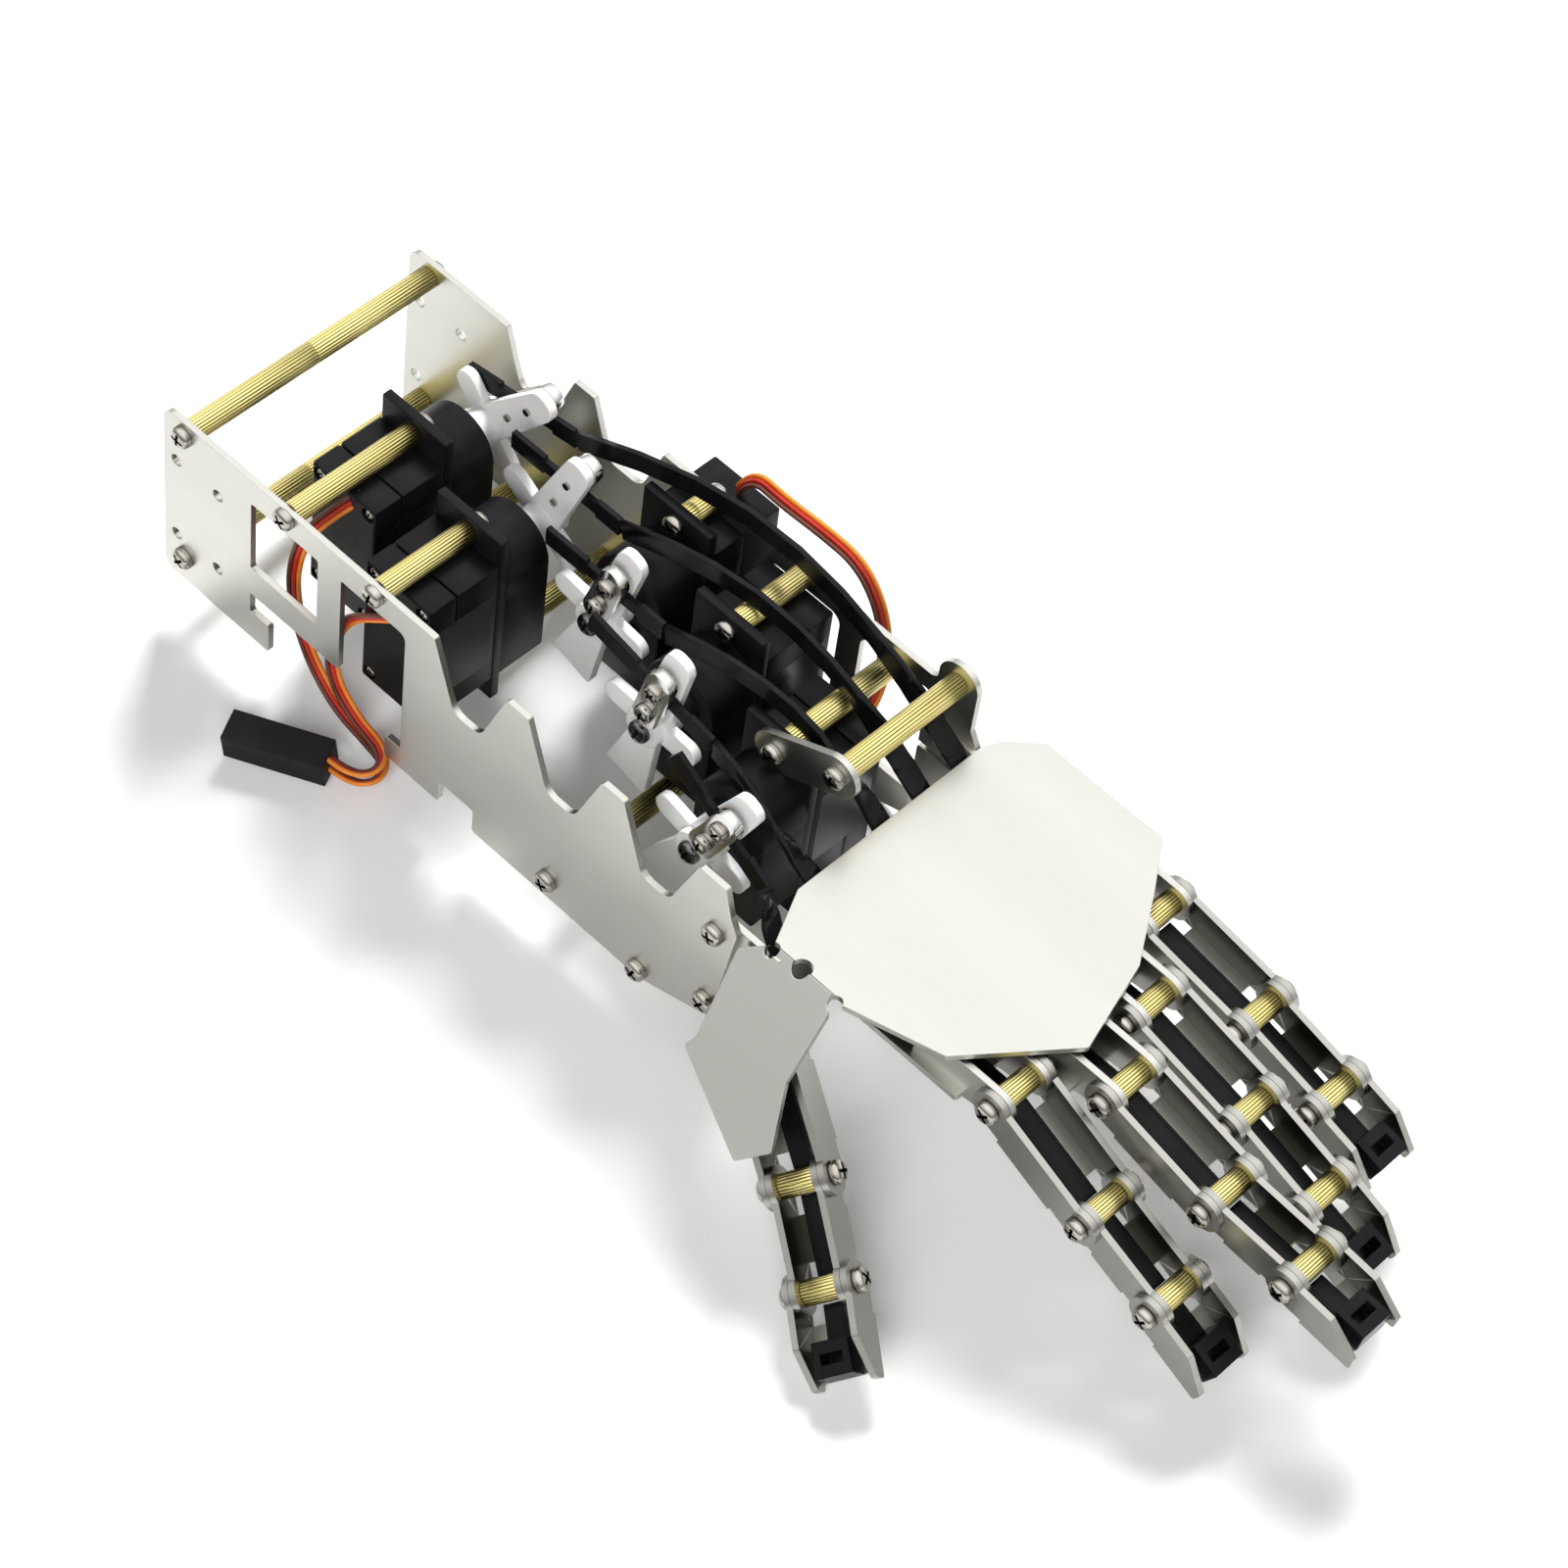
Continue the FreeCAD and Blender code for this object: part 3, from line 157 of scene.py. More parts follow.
# Painted shade: near-black metal for the walls of the screws' cross recesses
recessPaintedShade = finish({
    "name": "recessPaintedShade", "metallic": 1.0, "low": (0.03, 0.03, 0.027), "high": (0.05, 0.05, 0.045),
    "rough": (0.4, 0.5), "grain": 1200.0, "bump": 0.06, "cloud": 300.0})
gunmetal = finish({
    "name": "hubScrewSteel", "metallic": 1.0, "low": (0.09, 0.09, 0.09), "high": (0.16, 0.16, 0.155),
    "rough": (0.18, 0.32), "grain": 1200.0, "bump": 0.06, "cloud": 300.0})
clampSteel = finish({
    "name": "polishedClamp", "metallic": 1.0, "low": (0.60, 0.60, 0.58), "high": (0.66, 0.66, 0.64),
    "rough": (0.10, 0.20), "grain": 900.0, "bump": 0.05, "cloud": 200.0})
blackCase = finish({
    "name": "servoCase", "low": (0.005, 0.005, 0.006), "high": (0.009, 0.009, 0.010), "specular": 0.12,
    "bevel": 0.5, "rough": (0.30, 0.46), "grain": 2600.0, "bump": 0.20, "cloud": 120.0})
caseLabel = finish({
    "name": "bareLabel", "low": (0.007, 0.007, 0.009), "high": (0.011, 0.011, 0.014), "specular": 0.3,
    "rough": (0.16, 0.24), "grain": 600.0, "bump": 0.03, "cloud": 90.0})
blackStrip = finish({
    "name": "tieStrip", "low": (0.004, 0.004, 0.005), "high": (0.008, 0.008, 0.009), "specular": 0.12,
    "bevel": 0.3, "rough": (0.18, 0.30), "grain": 700.0, "bump": 0.06, "cloud": 150.0})
blackHead = finish({
    "name": "tieHead", "low": (0.004, 0.004, 0.005), "high": (0.008, 0.008, 0.009), "specular": 0.12,
    "bevel": 0.6, "rough": (0.20, 0.32), "grain": 1600.0, "bump": 0.08, "cloud": 150.0})
plugShell = finish({
    "name": "plugShell", "low": (0.004, 0.004, 0.005), "high": (0.008, 0.008, 0.009), "specular": 0.15,
    "bevel": 0.4, "rough": (0.42, 0.60), "grain": 1900.0, "bump": 0.20, "cloud": 120.0})
nylon = finish({
    "name": "hornNylon", "low": (0.93, 0.94, 0.93), "high": (0.96, 0.97, 0.96), "subsurface": 0.15,
    "bevel": 0.6, "depth": 1.5, "rough": (0.26, 0.38), "grain": 900.0, "bump": 0.05, "cloud": 80.0})
brownWire = finish({
    "name": "brownWire", "low": (0.10, 0.028, 0.014), "high": (0.15, 0.045, 0.024),
    "rough": (0.34, 0.46), "grain": 1500.0, "bump": 0.06, "cloud": 160.0})
redWire = finish({
    "name": "redWire", "low": (0.48, 0.018, 0.010), "high": (0.58, 0.030, 0.018),
    "rough": (0.32, 0.44), "grain": 1500.0, "bump": 0.06, "cloud": 160.0})
orangeWire = finish({
    "name": "orangeWire", "low": (0.80, 0.22, 0.020), "high": (0.88, 0.28, 0.035),
    "rough": (0.32, 0.44), "grain": 1500.0, "bump": 0.06, "cloud": 160.0})
print("materials made")


# Places read from the frame
def weldedCopy(node):
    # A CAD node's mesh with its touching corners made one
    work = bmesh.new()
    work.from_mesh(frame["nodes"][node].data)
    bmesh.ops.remove_doubles(work, verts=work.verts, dist=touching)
    return work


def solids(node):
    # Corners of each loose solid of a node, in metres
    work = weldedCopy(node)
    seen = set()
    found = []
    for first in work.verts:
        if first in seen:
            continue
        seen.add(first)
        waiting = [first]
        corners = []
        while waiting:
            vert = waiting.pop()
            corners.append(vert.co[:])
            for edge in vert.link_edges:
                other = edge.other_vert(vert)
                if other not in seen:
                    seen.add(other)
                    waiting.append(other)
        found.append(np.array(corners))
    work.free()
    return found


def placeWith(x, y, z, origin):
    # Takes local X, Y and Z to three directions, and the local zero point to origin
    place = Matrix((x, y, z)).transposed().to_4x4()
    place.translation = origin
    return place


def axisPlace(origin, upward, turn=0.0):
    # Local Z goes along upward, with a turn about it
    upward = Vector(upward).normalized()
    side = upward.orthogonal().normalized()
    return placeWith(side, upward.cross(side), upward, origin) @ Matrix.Rotation(turn, 4, "Z")


def measure(corners, axis):
    # Centre line, span along the axis and radius of each corner of a round solid
    axis = np.array(axis)
    along = corners @ axis
    flat = corners - np.outer(along, axis)
    side = np.array(Vector(axis).orthogonal().normalized())
    across = np.cross(axis, side)
    middle = [(flat @ way).min() / 2 + (flat @ way).max() / 2 for way in (side, across)]
    centre = side * middle[0] + across * middle[1]
    return centre, along, np.linalg.norm(flat - centre, axis=1)


# Meshes
def bake(work, name):
    bmesh.ops.recalc_face_normals(work, faces=work.faces)
    mesh = bpy.data.meshes.new(name)
    work.to_mesh(mesh)
    work.free()
    return mesh


def piece(name, prints, materials, body, nodes=(), sharp=32):
    # One object from several placed copies of prepared meshes
    work = bmesh.new()
    for mesh, place in prints:
        before = len(work.verts)
        work.from_mesh(mesh)
        work.verts.ensure_lookup_table()
        bmesh.ops.transform(work, matrix=place, verts=work.verts[before:])
    mesh = bpy.data.meshes.new(name)
    work.to_mesh(mesh)
    work.free()
    for material in materials:
        mesh.materials.append(material)
    mesh.polygons.foreach_set("use_smooth", [True] * len(mesh.polygons))
    mesh.set_sharp_from_angle(angle=math.radians(sharp))
    made = bpy.data.objects.new(name, mesh)
    bpy.context.collection.objects.link(made)
    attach(made, body)
    if nodes:
        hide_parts(*nodes)
    return made


def skin(work, rings, slot=0):
    # Joins each ring of corners to the next and closes both ends
    faces = []
    for low, high in zip(rings, rings[1:]):
        for step in range(len(low)):
            after = (step + 1) % len(low)
            faces.append(work.faces.new((low[step], low[after], high[after], high[step])))
    faces.append(work.faces.new(rings[0]))
    faces.append(work.faces.new(rings[-1]))
    for face in faces:
        face.material_index = slot


def lathe(profile, count, name):
    # Profile of radius and height, turned about Z and closed at both ends
    work = bmesh.new()
    rings = []
    for radius, height in profile:
        ring = []
        for step in range(count):
            angle = 2 * math.pi * step / count
            ring.append(work.verts.new((radius * math.cos(angle), radius * math.sin(angle), height)))
        rings.append(ring)
    skin(work, rings)
    return bake(work, name)


def pull(work, outline, way):
    # A flat outline, pulled along a way into a closed solid
    face = work.faces.new([work.verts.new(corner) for corner in outline])
    grown = bmesh.ops.extrude_face_region(work, geom=[face])
    moved = [item for item in grown["geom"] if isinstance(item, bmesh.types.BMVert)]
    bmesh.ops.translate(work, verts=moved, vec=way)


def roundEdges(work, edges, radius):
    bmesh.ops.bevel(work, geom=edges, offset=radius, segments=2, affect="EDGES", profile=0.5)


def roundBox(low, high, radius, name, slot=0):
    work = bmesh.new()
    size = Vector(high) - Vector(low)
    middle = (Vector(high) + Vector(low)) / 2
    place = Matrix.Translation(middle) @ Matrix.Diagonal((*size, 1.0))
    bmesh.ops.create_cube(work, size=1.0, matrix=place)
    if radius > 0:
        roundEdges(work, list(work.edges), radius)
    for face in work.faces:
        face.material_index = slot
    return bake(work, name)


def cutAway(mesh, tools, name):
    # Takes the tools out of a mesh, with the tools' own material on the new walls
    body = bpy.data.objects.new(name, mesh)
    bpy.context.collection.objects.link(body)
    cutters = []
    for tool in tools:
        cutter = bpy.data.objects.new(name + "Cutter", tool)
        bpy.context.collection.objects.link(cutter)
        step = body.modifiers.new("cut", "BOOLEAN")
        step.operation = "DIFFERENCE"
        step.solver = "EXACT"
        step.object = cutter
        cutters.append(cutter)
    bpy.context.view_layer.update()
    shaped = bpy.data.meshes.new_from_object(body.evaluated_get(bpy.context.evaluated_depsgraph_get()))
    for used in cutters + [body]:
        bpy.data.objects.remove(used)
    return shaped


# Screws: the head's shares are of its radius or height, and each next recess is turned a little further
screw = {"headRadius": 2.7 * mm, "headHeight": 2.2 * mm, "sides": 36, "seatShare": 0.94, "seatRise": 0.10,
         "wallRise": 0.42, "crownShare": 0.55, "crownRise": 0.56, "crownSteps": 7, "topShare": 0.3,
         "slotWidth": 0.75 * mm, "slotReach": 1.75 * mm, "slotDepth": 1.1 * mm, "slotPast": 1 * mm,
         "shankRadius": 1.5 * mm, "shankSides": 20, "wideShare": 0.8,
         "frameTurn": 0.7, "knuckleTurn": 0.9, "pivotTurn": 0.8}


def panHead():
    # Pan head seated on Z 0, with a cross recess
    radius = screw["headRadius"]
    height = screw["headHeight"]
    profile = [(radius * screw["seatShare"], 0.0), (radius, height * screw["seatRise"]),
               (radius, height * screw["wallRise"])]
    for step in range(1, screw["crownSteps"]):
        angle = math.pi / 2 * step / screw["crownSteps"]
        profile.append((radius * (1 - screw["crownShare"] * (1 - math.cos(angle))),
                        height * (screw["wallRise"] + screw["crownRise"] * math.sin(angle))))
    profile.append((radius * screw["topShare"], height))
    head = lathe(profile, screw["sides"], "panHead")
    reach = screw["slotReach"]
    half = screw["slotWidth"] / 2
    tools = []
    # the recess walls take the second material, the painted shade
    for turn in (0.0, math.pi / 2):
        tool = roundBox((-reach, -half, height - screw["slotDepth"]),
                        (reach, half, height + screw["slotPast"]), 0, "crossTool", slot=1)
        tool.transform(Matrix.Rotation(turn, 4, "Z"))
        tools.append(tool)
    return cutAway(head, tools, "crossHead")


headMesh = panHead()
shankMesh = lathe([(screw["shankRadius"], 0.0), (screw["shankRadius"], 1.0)], screw["shankSides"], "shank")


def screwPrints(corners, axis, turn):
    # Head and shank of a CAD screw: the head is where the radius is large
    centre, along, radius = measure(corners, axis)
    wide = radius > radius.max() * screw["wideShare"]
    axis = np.array(axis)
    outward = 1.0 if along[wide].mean() > along[~wide].mean() else -1.0
    face = (along[wide] * outward).min() * outward
    tail = (along[~wide] * outward).min() * outward
    scale = Matrix.Diagonal((1, 1, abs(face - tail), 1))
    base = Vector(centre + axis * face)
    place = axisPlace(base, Vector(axis) * outward, turn)
    back = axisPlace(Vector(centre + axis * tail), Vector(axis) * outward, turn)
    return [(headMesh, place), (shankMesh, back @ scale)]


# Knurled rods: a crossbar above the longest is two, end to end; a pivot solid below the shortest is a screw
knurl = {"teeth": 22, "toothCorners": 4, "depth": 0.2 * mm, "rim": 0.25 * mm, "longest": 50 * mm,
         "shortest": 8 * mm, "nextTurn": 0.1, "sharp": 60}


def knurledRod(length, radius):
    # Straight-knurled rod along Z from 0; a factor stored on the valley corners paints shade into the
    # valleys
    count = knurl["teeth"] * knurl["toothCorners"]
    rim = knurl["rim"]
    work = bmesh.new()
    shade = work.verts.layers.float.new("paintedGrooveShade")
    rings = []
    for height, shrink in ((0.0, rim), (rim, 0.0), (length - rim, 0.0), (length, rim)):
        ring = []
        for step in range(count):
            angle = 2 * math.pi * step / count
            deep = step % knurl["toothCorners"] == 0
            reach = radius - shrink - (knurl["depth"] if deep else 0.0)
            vert = work.verts.new((reach * math.cos(angle), reach * math.sin(angle), height))
            vert[shade] = 1.0 if deep else 0.0
            ring.append(vert)
        rings.append(ring)
    skin(work, rings)
    return bake(work, "knurledRod")


def rodPrints(corners, axis, parts=1):
    centre, along, radius = measure(corners, axis)
    length = (along.max() - along.min()) / parts
    rod = knurledRod(length, radius.max())
    axis = np.array(axis)
    return [(rod, axisPlace(Vector(centre + axis * (along.min() + length * count)), axis,
                            knurl["nextTurn"] * count)) for count in range(parts)]


def rodPiece(name, prints, body, node):
    piece(name, prints, [knurledBrass], body, [node], knurl["sharp"])


def screwPiece(name, prints, body, node):
    piece(name, prints, [nickel, recessPaintedShade], body, [node])


prints = []
for corners in solids("rear_crossbars"):
    prints += rodPrints(corners, sideways, 2 if np.ptp(corners[:, 1]) > knurl["longest"] else 1)
rodPiece("knurledCrossbars", prints, root, "rear_crossbars")
for node in ("servo_standoffs", "guide_standoffs"):
    prints = []
    for corners in solids(node):
        prints += rodPrints(corners, sideways)
    rodPiece("knurled_" + node, prints, root, node)
for node in ("servo_tab_screws", "frame_screws"):
    prints = []
    for count, corners in enumerate(solids(node)):
        prints += screwPrints(corners, sideways, screw["frameTurn"] * count)
    screwPiece("cross_" + node, prints, root, node)
print("frame rods and screws made")


# Pivots of the fingers
def nearestAxis(corners):
    # Axis of the knuckle that is nearest to a solid
    middle = corners.mean(axis=0)
    closest = min(fingers, key=lambda name: np.linalg.norm(
        np.array(joints[name + "_knuckle"]["pos_m"]) - middle))
    return joints[closest + "_knuckle"]["axis"]


prints = []
for corners in solids("knuckle_spacers"):
    prints += rodPrints(corners, nearestAxis(corners))
rodPiece("knurledKnuckleSpacers", prints, root, "knuckle_spacers")
prints = []
for count, corners in enumerate(solids("knuckle_screws")):
    prints += screwPrints(corners, nearestAxis(corners), screw["knuckleTurn"] * count)
screwPiece("crossKnuckleScrews", prints, root, "knuckle_screws")
for name in fingers:
    axis = joints[name + "_knuckle"]["axis"]
    rods = []
    screws = []
    for count, corners in enumerate(solids(name + "_pivots")):
        along = measure(corners, axis)[1]
        if np.ptp(along) > knurl["shortest"]:
            rods += rodPrints(corners, axis)
        else:
            screws += screwPrints(corners, axis, screw["pivotTurn"] * count)
    rodPiece(name + "PivotSpacers", rods, name + "_middle", name + "_pivots")
    screwPiece(name + "PivotScrews", screws, name + "_middle", name + "_pivots")
print("finger pivots made")


# Servos: same places as the solids, with split case, bevels, turret and corner screws
servo = {"half": 10 * mm, "caseHalf": 19.2 * mm, "back": 20 * mm, "cap": 8 * mm, "tab": 2.5 * mm,
         "tabReach": 26.2 * mm, "tabGap": 0.02 * mm, "tabEdge": 0.35 * mm, "gear": 13 * mm,
         "gearSink": 0.5 * mm, "shaftRise": 8.5 * mm, "boss": 6 * mm, "bossHeight": 2 * mm,
         "bossTaper": 0.94, "seam": 0.25 * mm, "edge": 0.6 * mm, "edgeShare": 0.3, "coreInset": 1 * mm,
         "hornGap": 0.5 * mm, "turretSides": 64, "bossSides": 48, "sharp": 35}
cornerScrew = {"across": 7.6 * mm, "rise": 16.8 * mm, "pocketRadius": 1.9 * mm, "pocketDepth": 1.2 * mm,
               "pocketReach": 6 * mm, "pocketSides": 20, "seat": 1.3 * mm, "scale": 0.5}
label = {"low": -12 * mm, "high": 11 * mm, "rear": 2 * mm, "front": 1.5 * mm, "sink": 0.05 * mm,
         "proud": 0.08 * mm}


def cornerPrints():
    # The rear cap's four small screws, and the pockets that they sit in
    radius = cornerScrew["pocketRadius"]
    reach = cornerScrew["pocketReach"]
    floor = cornerScrew["pocketDepth"] - servo["back"]
    seat = cornerScrew["seat"] - servo["back"]
    backward = (0, -1, 0)
    screws = []
    pockets = []
    for x in (-1, 1):
        for z in (-1, 1):
            across = x * cornerScrew["across"]
            rise = z * cornerScrew["rise"]
            pocket = lathe([(radius, 0.0), (radius, reach)], cornerScrew["pocketSides"], "pocket")
            pocket.transform(axisPlace((across, floor, rise), backward))
            pockets.append(pocket)
            place = axisPlace((across, seat, rise), backward, x + z)
            screws.append((headMesh, place @ Matrix.Scale(cornerScrew["scale"], 4)))
    return screws, pockets


def servoPrints(pockets):
    # Along Y from the rear: cap, middle case, tab plate, gear case with its round turret, boss
    half = servo["half"]
    tall = servo["caseHalf"]
    seam = servo["seam"]
    edge = servo["edge"]
    back = -servo["back"]
    split = back + servo["cap"]
    tab = servo["tab"]
    front = tab + servo["gear"]
    shaft = servo["shaftRise"]
    inset = servo["coreInset"]
    rear = roundBox((-half, back, -tall), (half, split - seam, tall), edge, "rearCap")
    core = roundBox((-half + seam, back + inset, -tall + seam), (half - seam, front - inset, shaft), 0,
                    "core")
    middle = roundBox((-half, split, -tall), (half, 0, tall), edge, "middleCase")
    plate = roundBox((-half, servo["tabGap"], -servo["tabReach"]), (half, tab, servo["tabReach"]),
                     servo["tabEdge"], "tabPlate")
    gear = roundBox((-half, tab - servo["gearSink"], -tall), (half, front, shaft), edge, "gearCase")
    height = front - tab
    turret = lathe([(half, 0), (half, height - edge),
                    (half - edge * servo["edgeShare"], height - edge * servo["edgeShare"]),
                    (half - edge, height)], servo["turretSides"], "turret")
    boss = lathe([(servo["boss"], 0), (servo["boss"] * servo["bossTaper"], servo["bossHeight"])],
                 servo["bossSides"], "boss")
    return [(cutAway(rear, pockets, "rearCapCut"), still), (core, still), (middle, still), (plate, still),
            (gear, still), (turret, axisPlace((0, tab, shaft), sideways)),
            (boss, axisPlace((0, front, shaft), sideways))]


def labelPrint():
    # Bare glossy field on the flank, where such servos carry their sticker
    return roundBox((servo["half"] - label["sink"], -servo["back"] + label["rear"], label["low"]),
                    (servo["half"] + label["proud"], -label["front"], label["high"]), 0, "label")


def hornBase(name):
    # The way along Y that a horn faces, and its face towards the servo
    low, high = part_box(name + "_horn")
    facing = 1 if name in leftServos else -1
    return facing, low[1] if facing > 0 else high[1]


screwSet, pocketSet = cornerPrints()
casePrints = servoPrints(pocketSet)
labelMesh = labelPrint()
for node, names in (("left_servos", leftServos), ("right_servos", rightServos)):
    shapes = []
    screws = []
    labels = []
    for name in names:
        hub = joints[name + "_horn_joint"]["pos_m"]
        facing, base = hornBase(name)
        reach = servo["tab"] + servo["gear"] + servo["bossHeight"] + servo["hornGap"]
        spot = Matrix.Translation((hub[0], base - facing * reach, hub[2] - servo["shaftRise"]))
        if facing < 0:
            spot = spot @ Matrix.Rotation(math.pi, 4, "Z")
        shapes += [(mesh, spot @ place) for mesh, place in casePrints]
        screws += [(mesh, spot @ place) for mesh, place in screwSet]
        labels += [(labelMesh, spot), (labelMesh, spot @ Matrix.Rotation(math.pi, 4, "Y"))]
    piece(node + "Cases", shapes, [blackCase], root, [node], servo["sharp"])
    piece(node + "Labels", labels, [caseLabel], root, [node])
    screwPiece(node + "CornerScrews", screws, root, node)
print("servos made")


# Horn clamps: polished plate, two cross screws through the horn and the hub screw
clamp = {"inner": 10.5 * mm, "outer": 19.3 * mm, "length": 19.5 * mm, "width": 7 * mm, "thick": 2.6 * mm,
         "edge": 0.35 * mm, "steps": 16, "start": 8.1 * mm, "hub": 8.5 * mm, "armStart": 4 * mm,
         "stemPast": 0.7 * mm, "stemScale": 0.62, "headScale": 0.86, "screwTurn": 0.6, "hubTurn": 0.4}


def clampPlate():
    # Round-ended plate in local X and Z, its thickness along Y
    half = clamp["width"] / 2
    straight = (clamp["length"] - clamp["width"]) / 2
    middle = (clamp["inner"] + clamp["outer"]) / 2
    outline = []
    for side, start in ((1, 0), (-1, math.pi)):
        for step in range(clamp["steps"] + 1):
            angle = math.pi * step / clamp["steps"] + start
            outline.append((half * math.cos(angle), 0, middle + side * straight + half * math.sin(angle)))
    work = bmesh.new()
    pull(work, outline, (0, clamp["thick"], 0))
    rims = [edge for edge in work.edges if abs(edge.verts[0].co.y - edge.verts[1].co.y) < touching]
    roundEdges(work, rims, clamp["edge"])
    return bake(work, "clampPlate")


plateMesh = clampPlate()
for name in fingers:
    hub = Vector(joints[name + "_horn_joint"]["pos_m"])
    pivot = Vector(joints[name + "_tie_joint"]["pos_m"])
    facing, base = hornBase(name)
    hub.y = base
    outward = Vector((0, facing, 0))
    upward = Vector((pivot.x - hub.x, 0, pivot.z - hub.z)).normalized()
    place = placeWith(outward.cross(upward), outward, upward, hub)
    prints = [(plateMesh, place @ Matrix.Translation((0, clamp["start"], 0)))]
    piece(name + "ClampPlate", prints, [clampSteel], name + "_horn", [name + "_horn_clamp"])
    screws = []
    for count, reach in enumerate((clamp["inner"], clamp["outer"])):
        seat = hub + upward * reach + outward * (clamp["start"] + clamp["thick"])
        head = axisPlace(seat, outward, clamp["screwTurn"] + count) @ Matrix.Scale(clamp["headScale"], 4)
        screws.append((headMesh, head))
        tip = hub + upward * reach + outward * (clamp["armStart"] - clamp["stemPast"])
        length = clamp["start"] - clamp["armStart"] + clamp["stemPast"]
        stem = Matrix.Diagonal((clamp["stemScale"], clamp["stemScale"], length, 1))
        screws.append((shankMesh, axisPlace(tip, outward) @ stem))
    screwPiece(name + "ClampScrews", screws, name + "_horn", name + "_horn_clamp")
    top = axisPlace(hub + outward * clamp["hub"], outward, clamp["hubTurn"])
    piece(name + "HubScrew", [(headMesh, top)], [gunmetal, recessPaintedShade], name + "_horn",
          [name + "_horn_clamp"])
print("horn clamps made")


# Strips that carry each tie on through its finger, one length to a link, with a rim along each edge
strip = {"half": 2.4 * mm, "bottom": -3.95 * mm, "top": -2.95 * mm, "rimWidth": 0.7 * mm,
         "rimRise": 0.14 * mm, "pinGap": 2.5 * mm, "mitre": 0.9 * mm, "headReach": 14.4 * mm,
         "headDrop": 1.2 * mm, "headStart": 10.6 * mm, "rootReach": 16 * mm, "rootGap": 3.8 * mm}
pins = ("_knuckle", "_middle_joint", "_tip_joint")


def fingerAxis(name):
    return Vector(joints[name + "_knuckle"]["axis"]).normalized()


def rimmedStrip(first, last):
    # Strip along X, below the pins' line by its bottom and top
    half = strip["half"]
    inner = half - strip["rimWidth"]
    rim = strip["top"] + strip["rimRise"]
    profile = [(-half, strip["bottom"]), (half, strip["bottom"]), (half, rim), (inner, rim),
               (inner, strip["top"]), (-inner, strip["top"]), (-inner, rim), (-half, rim)]
    work = bmesh.new()
    pull(work, [(first, y, z) for y, z in profile], (last - first, 0, 0))
    for vert in work.verts:      # slanted ends, which stay clear of the next length when the finger bends
        if vert.co.z < (strip["bottom"] + strip["top"]) / 2:
            vert.co.x += strip["mitre"] if vert.co.x < (first + last) / 2 else -strip["mitre"]
    return bake(work, "rimmedStrip")


def stripPiece(name, first, last, origin, along, axis, body):
    place = placeWith(along, axis, along.cross(axis), origin)
    piece(name, [(rimmedStrip(first, last), place)], [blackStrip], body)


for name in fingers:
    first, second, third = [Vector(joints[name + pin]["pos_m"]) for pin in pins]
    axis = fingerAxis(name)
    gap = strip["pinGap"]
    headMiddle = Vector(np.mean(solids(name + "_tie_head")[0], axis=0))
    leanBack = Matrix.Rotation(-math.atan(strip["headDrop"] / strip["headReach"]), 4, axis)
    tipAlong = leanBack @ (headMiddle - third)
    tipAlong = (tipAlong - axis * tipAlong.dot(axis)).normalized()
    links = {"_proximal": (first, (second - first).normalized(), (second - first).length - gap),
             "_middle": (second, (third - second).normalized(), (third - second).length - gap),
             "_tip": (third, tipAlong, strip["headStart"])}
    for body, (origin, along, last) in links.items():
        stripPiece(name + body[1:].capitalize() + "Strip", gap, last, origin, along, axis, name + body)
    if name != "thumb":      # behind the knuckle, the strip lies straight under the palm
        ahead = Vector((1, 0, 0))
        stripPiece(name + "RootStrip", -strip["rootReach"], -strip["rootGap"], first, ahead, axis, root)
print("finger strips made")


# Servo leads: three wires side by side along the route's own curve
wire = {"radius": 0.57 * mm, "pitch": 1.13 * mm, "sides": 10, "width": 3.4 * mm, "curveSteps": 10,
        "sharp": 60}
rearRoute = [
    (0.0425, -0.0175, 0.0460),
    (0.0370, -0.0265, 0.0390),
    (0.0340, -0.0293, 0.0265),
    (0.0345, -0.0298, 0.0130),
    (0.0405, -0.0305, 0.0005),
    (0.0510, -0.0318, -0.0066),
    (0.0620, -0.0326, -0.0076),
    (0.0696, -0.0336, -0.0077),
    (0.0717, -0.0386, -0.0085),
    (0.0675, -0.0426, -0.0091),
    (0.0618, -0.0429, -0.0090),
]
frontRoute = [
    (0.0730, -0.0282, 0.0405),
    (0.0630, -0.0326, 0.0360),
    (0.0540, -0.0323, 0.0270),
    (0.0493, -0.0322, 0.0145),
    (0.0505, -0.0324, 0.0030),
    (0.0585, -0.0330, -0.0032),
    (0.0696, -0.0341, -0.0039),
    (0.0717, -0.0391, -0.0047),
    (0.0675, -0.0431, -0.0053),
    (0.0618, -0.0434, -0.0052),
]
rightRoute = [
    (0.0940, 0.0435, 0.0450),
    (0.0970, 0.0440, 0.0550),
    (0.1060, 0.0455, 0.0520),
    (0.1170, 0.0470, 0.0505),
    (0.1270, 0.0480, 0.0485),
    (0.1350, 0.0475, 0.0410),
    (0.1395, 0.0460, 0.0300),
    (0.1425, 0.0410, 0.0225),
    (0.1442, 0.0320, 0.0180),
]


def routeLine(points):
    curve = bpy.data.curves.new("route", "CURVE")
    curve.dimensions = "3D"
    spline = curve.splines.new("NURBS")
    spline.points.add(len(points) - 1)
    for point, spot in zip(spline.points, points):
        point.co = (*spot, 1.0)
    spline.order_u = 3
    spline.use_endpoint_u = True
    spline.resolution_u = wire["curveSteps"]
    holder = bpy.data.objects.new("route", curve)
    mesh = bpy.data.meshes.new_from_object(holder)
    line = [vert.co.copy() for vert in mesh.vertices]
    bpy.data.objects.remove(holder)
    return line


